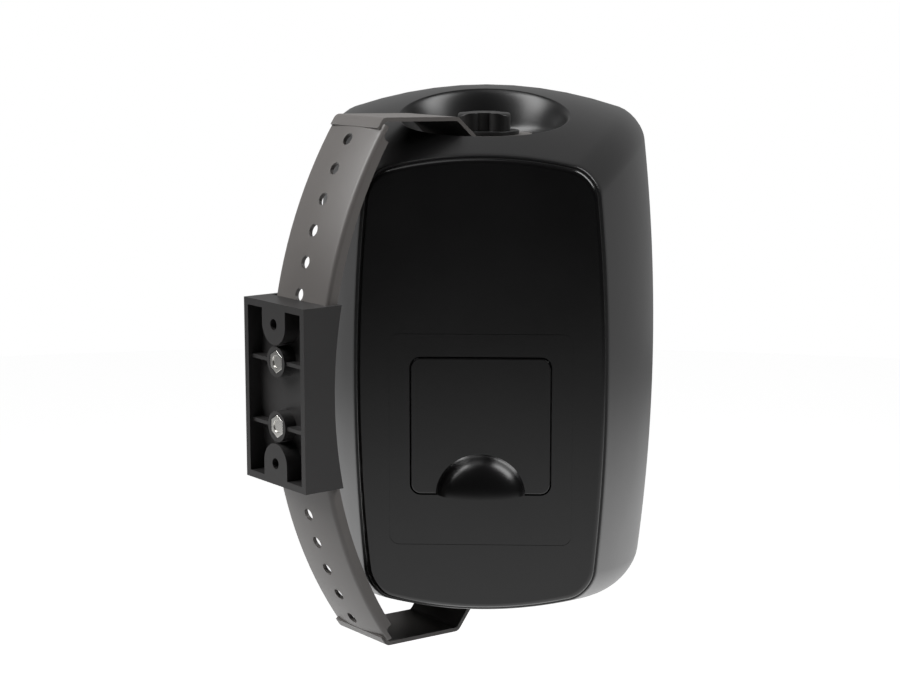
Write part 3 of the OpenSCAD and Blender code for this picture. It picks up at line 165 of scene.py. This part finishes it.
BLACK = (0.0048, 0.0047, 0.0049)
LOOKS = {
    "mount_plastic": dict(color=(0.024, 0.023, 0.023), rough=0.42, grain=0.9, depth=0.02),
    "strap_paint": dict(color=(0.135, 0.126, 0.120), rough=0.42, grain=0.7, depth=0.018, spread=0.12),
    "zinc_steel": dict(color=(0.70, 0.69, 0.66), rough=0.24, metal=1, grain=0.3, depth=0.006),
    "cabinet_plastic": dict(color=BLACK, rough=0.33, grain=0.8, depth=0.008, drift=0.03, panel_rough=0.19),
    "gasket_foam": dict(color=(0.012, 0.012, 0.012), rough=0.85, grain=1.2, depth=0.12),
    "grille_paint": dict(color=(0.014, 0.014, 0.014), rough=0.45, grain=0.5, depth=0.01),
    "black_steel": dict(color=(0.02, 0.02, 0.02), rough=0.35, metal=0.3, grain=0.5, depth=0.008),
    "insert_brass": dict(color=(0.60, 0.42, 0.18), rough=0.3, metal=1, grain=0.4, depth=0.01,
                         kind="brushed"),
    "washer_rubber": dict(color=(0.01, 0.01, 0.01), rough=0.75, grain=0.8, depth=0.04),
    "knob_plastic": dict(color=(0.013, 0.0125, 0.0125), rough=0.38, grain=0.7, depth=0.012),
    "cover_plastic": dict(color=BLACK, rough=0.27, grain=0.8, depth=0.006, drift=0.03, panel_rough=0.19),
    "terminal_plastic": dict(color=(0.02, 0.02, 0.021), rough=0.45, grain=0.9, depth=0.02),
    "red_plastic": dict(color=(0.45, 0.012, 0.012), rough=0.3, grain=0.8, depth=0.01, coat=0.2),
    "black_plastic": dict(color=(0.012, 0.012, 0.012), rough=0.3, grain=0.8, depth=0.01, coat=0.2),
    "board_laminate": dict(color=(0.02, 0.12, 0.05), rough=0.35, grain=1.0, depth=0.03, kind="weave"),
    "copper_wire": dict(color=(0.62, 0.27, 0.10), rough=0.3, metal=0.9, grain=0.5, depth=0.08,
                        kind="brushed"),
    "capacitor_film": dict(color=(0.62, 0.5, 0.2), rough=0.25, grain=1.0, depth=0.01, coat=0.4),
    "resistor_ceramic": dict(color=(0.72, 0.71, 0.66), rough=0.7, grain=0.6, depth=0.03),
    "basket_paint": dict(color=(0.022, 0.022, 0.024), rough=0.42, grain=0.8, depth=0.02),
    "ferrite": dict(color=(0.05, 0.05, 0.052), rough=0.6, grain=0.5, depth=0.02),
    "cone_paper": dict(color=(0.022, 0.021, 0.02), rough=0.8, grain=1.1, depth=0.09, sheen=0.2),
    "cap_paper": dict(color=(0.018, 0.018, 0.018), rough=0.7, grain=1.0, depth=0.06, sheen=0.2),
    "surround_rubber": dict(color=(0.011, 0.011, 0.011), rough=0.6, grain=0.9, depth=0.02),
    "spider_cloth": dict(color=(0.5, 0.36, 0.12), rough=0.85, grain=0.6, depth=0.08, kind="weave",
                         sheen=0.3),
    "faceplate_plastic": dict(color=(0.016, 0.016, 0.016), rough=0.45, grain=0.8, depth=0.02),
    "dome_silk": dict(color=(0.012, 0.012, 0.012), rough=0.6, grain=0.3, depth=0.02, kind="weave",
                      sheen=0.3),
}
FINISH = {slot: material(slot, **look) for slot, look in LOOKS.items()}
for name, node in frame["nodes"].items():
    node.data.materials.clear()
    node.data.materials.append(FINISH[SLOT_OF[name]])


# ---------------------------------------------------------------- mesh helpers

# Points closer than this are one, in metres: in the solids, in forms made here and at the surround's seams.
SOLID_WELD, FORM_WELD, SEAM_WELD = 2e-6, 1e-7, 5e-6
FLAT_ANGLE = math.radians(0.6)


def placed(name, data):
    """A new object in the scene."""
    piece = bpy.data.objects.new(name, data)
    bpy.context.scene.collection.objects.link(piece)
    return piece


def bake(piece):
    """Applies the modifiers."""
    graph = bpy.context.evaluated_depsgraph_get()
    mesh = bpy.data.meshes.new_from_object(piece.evaluated_get(graph))
    piece.modifiers.clear()
    piece.data = mesh


def shade(mesh, node, sharp):
    """Gives a mesh its node's finish and smooths it between its sharp edges."""
    mesh.materials.clear()
    mesh.materials.append(FINISH[SLOT_OF[node]])
    for face in mesh.polygons:
        face.material_index = 0
        face.use_smooth = True
    mesh.set_sharp_from_angle(angle=math.radians(sharp))


def finished(name, node, mesh, sharp=32):
    """Lets a mesh stand for a CAD node, shaded and on its body."""
    piece = placed(name, mesh)
    shade(mesh, node, sharp)
    normals = piece.modifiers.new("normals", "WEIGHTED_NORMAL")
    normals.keep_sharp = True
    bake(piece)
    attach(piece, BODY_OF[node])
    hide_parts(node)


def eased(node, width, segments, limit=30):
    """A CAD node's form again with its sharp edges rounded by width millimetres."""
    mesh = frame["nodes"][node].data.copy()
    form = bmesh.new()
    form.from_mesh(mesh)
    bmesh.ops.remove_doubles(form, verts=form.verts, dist=SOLID_WELD)
    bmesh.ops.dissolve_limit(form, angle_limit=FLAT_ANGLE, verts=form.verts, edges=form.edges)
    form.to_mesh(mesh)
    form.free()
    piece = placed("raw", mesh)
    bevel = piece.modifiers.new("edges", "BEVEL")
    bevel.limit_method = "ANGLE"
    bevel.angle_limit = math.radians(limit)
    bevel.width = width * MM
    bevel.segments = segments
    bevel.use_clamp_overlap = True
    bake(piece)
    result = piece.data
    bpy.data.objects.remove(piece)
    finished(node + "_eased", node, result)


def solid(points, faces):
    """A mesh in the row frame from points in the cabinet's own frame, in millimetres."""
    mesh = bpy.data.meshes.new("form")
    mesh.from_pydata([IN_CABINET @ Vector(p) for p in points], [], faces)
    form = bmesh.new()
    form.from_mesh(mesh)
    bmesh.ops.remove_doubles(form, verts=form.verts, dist=FORM_WELD)
    bmesh.ops.recalc_face_normals(form, faces=form.faces)
    form.to_mesh(mesh)
    form.free()
    return mesh


def skin(rings):
    """A closed form through rings of points, capped at both ends."""
    n = len(rings[0])
    points = [p for ring in rings for p in ring]
    faces = [[i * n + j, i * n + (j + 1) % n, (i + 1) * n + (j + 1) % n, (i + 1) * n + j]
             for i in range(len(rings) - 1) for j in range(n)]
    faces += [list(range(n)), [(len(rings) - 1) * n + j for j in reversed(range(n))]]
    return solid(points, faces)


def cut(mesh, operation, *tools):
    """The mesh after booleans with the tools."""
    piece = placed("raw", mesh)
    others = []
    for tool in tools:
        other = placed("tool", tool)
        others.append(other)
        change = piece.modifiers.new("cut", "BOOLEAN")
        change.operation = operation
        change.solver = "EXACT"
        change.object = other
    bake(piece)
    result = piece.data
    for other in [piece] + others:
        bpy.data.objects.remove(other)
    return result


def mix(a, b, share):
    return a + (b - a) * share


def circle(r, count):
    """Points round the origin, as pairs."""
    return [(r * math.cos(2 * math.pi * i / count), r * math.sin(2 * math.pi * i / count))
            for i in range(count)]


def rounded_outline(w, h, r, inset=0.0, steps=8):
    """Outline of a rounded rectangle about the origin, as pairs."""
    a, b, r = w / 2 - inset, h / 2 - inset, max(0.2, r - inset)
    points = []
    for corner, (sx, sz) in enumerate(((1, 1), (-1, 1), (-1, -1), (1, -1))):
        for i in range(steps + 1):
            t = math.radians(90 * corner + 90 * i / steps)
            points.append((sx * (a - r) + r * math.cos(t), sz * (b - r) + r * math.sin(t)))
    return points


def prism(points, y_low, y_high, z):
    """A straight form along the cabinet's depth, its outline raised by z."""
    return skin([[(x, y, z + v) for x, v in points] for y in (y_low, y_high)])


def box_tool(low, high):
    (x0, y0, z0), (x1, y1, z1) = low, high
    return skin([[(x0, y, z0), (x1, y, z0), (x1, y, z1), (x0, y, z1)] for y in (y0, y1)])


# ---------------------------------------------------------------- the cabinet's form

# Half width, half height, corner radius, side bow and top bow.
PANEL = (61.2, 112.5, 12.0, 0.095, 0.07)
WIDEST = (92.5, 141.2, 13.5, 0.087, 0.116)
PANEL_EDGE_R = 2.4
GROOVE_W, GROOVE_DEPTH, WALL, REAR_WALL = 1.0, 3.0, 3.0, 5.0
BOWL_Z, BOWL_R, BOWL_CURVE = 115.2, 30.5, 9.0
BOWL_SOFT, BOWL_TURNS, BOWL_TOOL_TOP = 24.0, 160, 190
GUARD_RADII, GUARD_TURNS, GUARD_TOP = (0.1, 20, 34, 36, 38, 40, 42, 44, 46, 48), 64, 175
BORE_R, BORE_Z, BORE_TURNS = 5.05, (100, 118), 48


def outline(a, b, r, side_bow, top_bow, side_steps=12, corner_steps=9):
    """Rounded rectangle whose sides fall back towards the corners."""
    quarter = [(a, (b - r) * i / side_steps) for i in range(side_steps)]
    for i in range(corner_steps + 1):
        t = math.pi / 2 * i / corner_steps
        quarter.append((a - r + r * math.cos(t), b - r + r * math.sin(t)))
    quarter += [((a - r) * (1 - i / side_steps), b) for i in range(1, side_steps + 1)]
    whole = quarter + [(-x, z) for x, z in quarter[-2::-1]]
    whole += [(-x, -z) for x, z in quarter[1:]] + [(x, -z) for x, z in quarter[-2:0:-1]]
    return [(x * (1 - side_bow * (z / b) ** 2), z * (1 - top_bow * (x / a) ** 2)) for x, z in whole]


def swell(y):
    """How far the cabinet has grown at a depth, from 0 at the panel to 1 where it is widest."""
    if y > SLOPE_Y:
        return 0.0
    return 1.0 if y < -WIDEST_Y else math.sin(math.pi / 2 * (SLOPE_Y - y) / (SLOPE_Y + WIDEST_Y))


def section_sizes(y):
    """The sizes of the cabinet's section at a depth, in the order of PANEL."""
    s = swell(y)
    start = (PANEL[0] + GROOVE_W, PANEL[1] + GROOVE_W, PANEL[2] + GROOVE_W, PANEL[3], PANEL[4])
    return [mix(p, q, s) for p, q in zip(start, WIDEST)]


def section(y, inset=0.0):
    a, b, r, side_bow, top_bow = section_sizes(y)
    return [(x, y, z) for x, z in outline(a - inset, b - inset, max(2, r - inset), side_bow, top_bow)]


def panel_ring(y, inset):
    a, b, r, side_bow, top_bow = PANEL
    return [(x, y, z) for x, z in outline(a - inset, b - inset, r - inset / 2, side_bow, top_bow)]


def top_height(x, y):
    """Height of the cabinet's top over a point near the swivel axis."""
    a, b, _, side_bow, top_bow = section_sizes(y)
    return b * (1 - top_bow * (x / (1 - side_bow) / a) ** 2)


def bowl_height(r):
    """Height of the bowl's surface at a radius from the swivel axis."""
    if r <= BOWL_R:
        return BOWL_Z
    last = math.radians(80)
    reach = BOWL_CURVE * math.sin(last)
    if r <= BOWL_R + reach:
        return BOWL_Z + BOWL_CURVE * (1 - math.cos(math.asin((r - BOWL_R) / BOWL_CURVE)))
    return BOWL_Z + BOWL_CURVE * (1 - math.cos(last)) + (r - BOWL_R - reach) * math.tan(last)


def bowl_tool(side):
    """Cutter for a bowl whose rim rolls over softly into the cabinet's top."""
    radii = [12, 24, 29, BOWL_R] + [BOWL_R + 0.75 * i for i in range(1, 12)]
    radii += [39 + 0.35 * i for i in range(41)]
    rings = []
    for r in radii:
        ring = []
        for x, y in circle(r, BOWL_TURNS):
            top, bowl = top_height(x, y), bowl_height(r)
            overlap = max(BOWL_SOFT - abs(top - bowl), 0) / BOWL_SOFT
            z = min(top, bowl) - overlap ** 2 * BOWL_SOFT / 4
            if bowl - top > BOWL_SOFT:
                z = top + (bowl - top - BOWL_SOFT) / 20
            ring.append((x, y, side * z))
        rings.append(ring)
    rings.append([(x, y, side * BOWL_TOOL_TOP) for x, y, _ in rings[-1]])
    return skin(rings)


def bowl_guard(side):
    """What the cabinet's hollow leaves standing under a bowl, so that the bowl keeps a wall."""
    rings = [[(x, y, side * (bowl_height(max(0, r - WALL)) - WALL)) for x, y in circle(r, GUARD_TURNS)]
             for r in GUARD_RADII]
    rings.append([(x, y, side * GUARD_TOP) for x, y, _ in rings[-1]])
    return skin(rings)


def bore(side):
    """Cutter for the bore of a bowl's threaded insert."""
    return skin([[(x, y, side * z) for x, y in circle(BORE_R, BORE_TURNS)] for z in BORE_Z])


COVER_W, COVER_H, COVER_R, COVER_TOP, COVER_GAP = 69.0, 68.6, 5, 14.9, 0.5
RECESS_Z = COVER_TOP - COVER_H / 2
LEDGE_Y = PANEL_Y - 7.6
CUP_W, CUP_Z, CUP_H, CUP_R = 52.6, -22.5, 51.6, 3
COLLAR = (77, 76.6, 8.5)
# A fine line is sunk into the panel round the cover: width, height and corner radius of both its edges.
LINE_OUTER, LINE_INNER, LINE_Z, LINE_DEPTH = (90.4, 106.6, 5), (89.6, 105.8, 4.6), -26.3, 0.3


def rear_shell():
    edge = [(PANEL_Y - PANEL_EDGE_R * (1 - math.sin(t)), PANEL_EDGE_R * (1 - math.cos(t)))
            for t in (math.radians(90 - 15 * i) for i in range(7))]
    groove_y = PANEL_Y - GROOVE_DEPTH
    rings = [panel_ring(y, inset) for y, inset in edge]
    rings += [panel_ring(groove_y, 0)]
    rings += [[(x, groove_y, z) for x, _, z in section(SLOPE_Y)]]
    rings += [section(y) for y in (mix(groove_y - 0.6, SPLIT_Y, i / 44) for i in range(45))]
    outside = skin(rings)
    inside = skin([section(mix(PANEL_Y - REAR_WALL, SPLIT_Y - 1, i / 12), WALL + (1 if i == 0 else 0))
                   for i in range(13)])
    collar = prism(rounded_outline(*COLLAR), LEDGE_Y - 5, PANEL_Y, RECESS_Z)
    inside = cut(inside, "DIFFERENCE", collar, bowl_guard(1), bowl_guard(-1))
    recess = prism(rounded_outline(COVER_W + 2 * COVER_GAP, COVER_H + 2 * COVER_GAP, COVER_R + COVER_GAP),
                   LEDGE_Y, PANEL_Y + 5, RECESS_Z)
    mouth = prism(rounded_outline(CUP_W, CUP_H, CUP_R), LEDGE_Y - 8, LEDGE_Y + 1, CUP_Z)
    line = cut(prism(rounded_outline(*LINE_OUTER), PANEL_Y - LINE_DEPTH, PANEL_Y + 1, LINE_Z), "DIFFERENCE",
               prism(rounded_outline(*LINE_INNER), PANEL_Y - 2, PANEL_Y + 3, LINE_Z))
    shell = cut(outside, "DIFFERENCE", bowl_tool(1), bowl_tool(-1), inside, recess, mouth, line,
                bore(1), bore(-1))
    finished("rear_shell_form", "rear_shell", shell, sharp=38)


# ---------------------------------------------------------------- the cover's form

COVER_BOTTOM = COVER_TOP - COVER_H
# The plate's rounded edge: depth under the panel's face, and inset.
COVER_EDGE = ((2.6, 0.3), (2.3, 0), (0.8, 0), (0.5, 0.06), (0.23, 0.23), (0.06, 0.5), (0, 0.8))
HOOD_Z, HOOD_HALF_W, HOOD_OUT, HOOD_H = COVER_BOTTOM - 0.3, 21, 10.5, 19.4
HOOD_FLARE, FLARE_REACH, HOOD_WALL = 1.3, 0.9, 1.8
HOOD_STEPS, HOOD_LEVELS = 64, 40
NOTCH_HALF_W, NOTCH_H = 15, 10.67


def hood(shrink, flare):
    """A quarter of a ball that stands on the cover, in rings of constant depth, with a soft foot."""
    half, out, high = HOOD_HALF_W - shrink, HOOD_OUT - shrink, HOOD_H - shrink
    points = []
    for i in range(HOOD_LEVELS):
        rise = math.pi / 2 * (i / HOOD_LEVELS) ** 1.3
        y = (out + 1) * math.sin(rise) - 1
        push = flare * math.exp(-max(y, 0) / FLARE_REACH)
        for j in range(HOOD_STEPS + 1):
            turn = math.pi * j / HOOD_STEPS
            x, z = half * math.cos(rise) * math.cos(turn), high * math.cos(rise) * math.sin(turn)
            away = math.hypot(x, z) or 1
            points.append((x + push * x / away, PANEL_Y + y, HOOD_Z + z + push * z / away))
    peak = len(points)
    points.append((0, PANEL_Y + out, HOOD_Z))
    n = HOOD_STEPS + 1
    last = HOOD_LEVELS - 1
    faces = [[i * n + j, i * n + j + 1, (i + 1) * n + j + 1, (i + 1) * n + j]
             for i in range(last) for j in range(HOOD_STEPS)]
    faces += [[last * n + j, last * n + j + 1, peak] for j in range(HOOD_STEPS)]
    faces.append(list(range(n)))
    faces.append([i * n for i in range(HOOD_LEVELS)] + [peak]
                 + [i * n + HOOD_STEPS for i in range(last, -1, -1)])
    return solid(points, faces)


def lowered_floor(mesh):
    """Lowers the flat underside of the hood's hollow by a millimetre, so that it cuts right through."""
    low = min(v.co.z for v in mesh.vertices)
    for v in mesh.vertices:
        if v.co.z < low + 1e-5:
            v.co.z -= MM
    return mesh


def terminal_cover():
    plate = skin([[(x, PANEL_Y - depth, RECESS_Z + z)
                   for x, z in rounded_outline(COVER_W, COVER_H, COVER_R, inset)]
                  for depth, inset in COVER_EDGE])
    body = cut(plate, "UNION", hood(0, HOOD_FLARE))
    hollow = cut(hood(HOOD_WALL, 0), "DIFFERENCE", box_tool((-40, PANEL_Y - 9, -90), (40, PANEL_Y, 0)))
    notch = box_tool((-NOTCH_HALF_W, PANEL_Y - 4, COVER_BOTTOM - 3),
                     (NOTCH_HALF_W, PANEL_Y + 0.5, COVER_BOTTOM + NOTCH_H))
    body = cut(body, "DIFFERENCE", lowered_floor(hollow), notch)
    finished("terminal_cover_form", "terminal_cover", body, sharp=40)


# ---------------------------------------------------------------- the woofer's surround

WOOFER_Z = -36.0
SECTORS = 24


def bending_surround():
    """The woofer's surround, from the cone's edge to the basket's ring.

    It is cut into sectors along its radii, and the sectors are then sewn together again.
    """
    centre = IN_CABINET @ Vector((0, 0, WOOFER_Z))
    turn = IN_CABINET.to_3x3().normalized()
    sewn = bmesh.new()
    pieces = []
    for i in range(SECTORS):
        form = bmesh.new()
        form.from_mesh(frame["nodes"]["woofer_surround"].data)
        for share, side in ((i, 1), (i + 1, -1)):
            t = 2 * math.pi * share / SECTORS
            across = turn @ Vector((-math.sin(t), 0, math.cos(t))) * side
            bmesh.ops.bisect_plane(form, geom=form.verts[:] + form.edges[:] + form.faces[:],
                                   plane_co=centre, plane_no=across, clear_inner=True)
        mesh = bpy.data.meshes.new("sector")
        form.to_mesh(mesh)
        form.free()
        piece = placed("woofer_surround_bending", mesh)
        t = 2 * math.pi * (i + 0.5) / SECTORS
        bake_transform(piece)
        sewn.from_mesh(piece.data)
        pieces.append(piece)
    bmesh.ops.remove_doubles(sewn, verts=sewn.verts, dist=SEAM_WELD)
    kept = pieces[0]
    sewn.to_mesh(kept.data)
    sewn.free()
    for piece in pieces[1:]:
        bpy.data.objects.remove(piece)
    shade(kept.data, "woofer_surround", 40)
    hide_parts("woofer_surround")


rear_shell()
terminal_cover()
bending_surround()
eased("grille", 0.15, 1, 50)
eased("wall_mount", 0.5, 2)
eased("strap", 0.35, 2, 40)
eased("front_baffle", 0.25, 1, 45)
for name in ("upper_knob", "lower_knob"):
    eased(name, 0.5, 3, 35)
for name in ("upper_steel_washer", "lower_steel_washer", "upper_rubber_washer", "lower_rubber_washer"):
    eased(name, 0.25, 2)
for name in ("strap_nuts", "strap_screws", "terminal_cup", "terminal_lever_red", "terminal_lever_black",
             "tweeter_faceplate"):
    eased(name, 0.2, 2)


# ---------------------------------------------------------------- floor, light and camera

CAMERA_AT = Vector((-0.8027, 0.5213, 0.194))
FORWARD = Vector((0.77458, -0.60741, -0.17636)).normalized()
AHEAD = Vector((FORWARD.x, FORWARD.y, 0)).normalized()
LENS, SENSOR_W, CLIP = 80.245, 36, (0.05, 50)
FLOOR_Z, FLOOR_R, FLOOR_SIDES = -1.05, 6.0, 96
FLOOR_LIFT = 0.9
FLOOR_BRIGHT_R, FLOOR_DARK_R = 3.6, 5.8
# The room's brightness for rays that don't come from the camera, by how far they point the camera's way.
ROOM_AHEAD, ROOM_LEVEL = (0.35, 1.0), (0.03, 0.42)
LIGHT_TARGET = Vector((0, -0.1, 0))


def background_rays(tree):
    """1 for rays that show the background: straight to the camera, or through a gloss or a glass."""
    seen = tree.nodes.new("ShaderNodeLightPath")
    level = seen.outputs["Is Camera Ray"]
    for other in ("Is Glossy Ray", "Is Transmission Ray"):
        level = math_node(tree, "MAXIMUM", level, seen.outputs[other])
    return level


def pale_floor():
    """A floor that is white for the camera and bright in reflections, where it fades outwards."""
    made = bpy.data.materials.new("floor")
    made.use_nodes = True
    tree = made.node_tree
    nodes, links = tree.nodes, tree.links
    diffuse = nodes["Principled BSDF"]
    diffuse.inputs["Base Color"].default_value = (0.86, 0.86, 0.86, 1)
    diffuse.inputs["Roughness"].default_value = 0.9
    away = nodes.new("ShaderNodeVectorMath")
    away.operation = "LENGTH"
    links.new(nodes.new("ShaderNodeTexCoord").outputs["Object"], away.inputs[0])
    fall = range_node(tree, away.outputs["Value"], (FLOOR_BRIGHT_R, FLOOR_DARK_R), (1, 0))
    camera_ray = nodes.new("ShaderNodeLightPath").outputs["Is Camera Ray"]
    level = math_node(tree, "MAXIMUM", fall.outputs["Result"], camera_ray)
    level = math_node(tree, "MULTIPLY", level, background_rays(tree))
    level = math_node(tree, "MULTIPLY", level, FLOOR_LIFT)
    light = nodes.new("ShaderNodeEmission")
    links.new(level, light.inputs["Strength"])
    both = nodes.new("ShaderNodeAddShader")
    links.new(diffuse.outputs[0], both.inputs[0])
    links.new(light.outputs[0], both.inputs[1])
    links.new(both.outputs[0], nodes["Material Output"].inputs["Surface"])
    mesh = bpy.data.meshes.new("floor")
    corners = [(x, y, FLOOR_Z) for x, y in circle(FLOOR_R, FLOOR_SIDES)]
    mesh.from_pydata(corners, [], [list(range(FLOOR_SIDES))])
    mesh.materials.append(made)
    placed("floor", mesh)


def surroundings():
    """White for the camera. Other rays see a dim room that is brighter on the backdrop's side."""
    world = bpy.data.worlds.new("studio")
    bpy.context.scene.world = world
    world.use_nodes = True
    tree = world.node_tree
    nodes, links = tree.nodes, tree.links
    direction = nodes.new("ShaderNodeTexCoord").outputs["Generated"]
    level = range_node(tree, along(tree, direction, AHEAD), ROOM_AHEAD, ROOM_LEVEL)
    level.interpolation_type = "SMOOTHSTEP"
    room = nodes["Background"]
    room.inputs["Color"].default_value = (1, 1, 1, 1)
    links.new(level.outputs["Result"], room.inputs["Strength"])
    white = nodes.new("ShaderNodeBackground")
    white.inputs["Color"].default_value = (1, 1, 1, 1)
    white.inputs["Strength"].default_value = 1
    choice = nodes.new("ShaderNodeMixShader")
    links.new(nodes.new("ShaderNodeLightPath").outputs["Is Camera Ray"], choice.inputs["Fac"])
    links.new(room.outputs[0], choice.inputs[1])
    links.new(white.outputs[0], choice.inputs[2])
    links.new(choice.outputs[0], nodes["World Output"].inputs["Surface"])


def softbox(name, angle, distance, height, size, radiance):
    """A large area light, its angle counted from the camera's side to the right."""
    turned = Matrix.Rotation(math.radians(angle), 3, "Z") @ -AHEAD
    light = bpy.data.lights.new(name, "AREA")
    light.shape = "RECTANGLE"
    light.size, light.size_y = size
    light.energy = radiance * math.pi * size[0] * size[1]
    lamp = placed(name, light)
    lamp.location = LIGHT_TARGET + turned * distance + Vector((0, 0, height))
    lamp.rotation_euler = (LIGHT_TARGET - lamp.location).to_track_quat("-Z", "Y").to_euler()
    lamp.visible_camera = False


def camera():
    data = bpy.data.cameras.new("view")
    data.sensor_fit = "HORIZONTAL"
    data.sensor_width = SENSOR_W
    data.lens = LENS
    data.clip_start, data.clip_end = CLIP
    eye = placed("view", data)
    eye.location = CAMERA_AT
    eye.rotation_euler = FORWARD.to_track_quat("-Z", "Y").to_euler()
    bpy.context.scene.camera = eye


pale_floor()
surroundings()
softbox("left_box", -80, 1.2, 1.2, (0.9, 1.2), 8.5)
softbox("right_box", 80, 1.2, 1.2, (0.8, 1.2), 7.5)
softbox("top_box", -70, 0.45, 1.4, (0.9, 0.9), 1.0)
camera()
bpy.context.scene.view_settings.view_transform = "Standard"
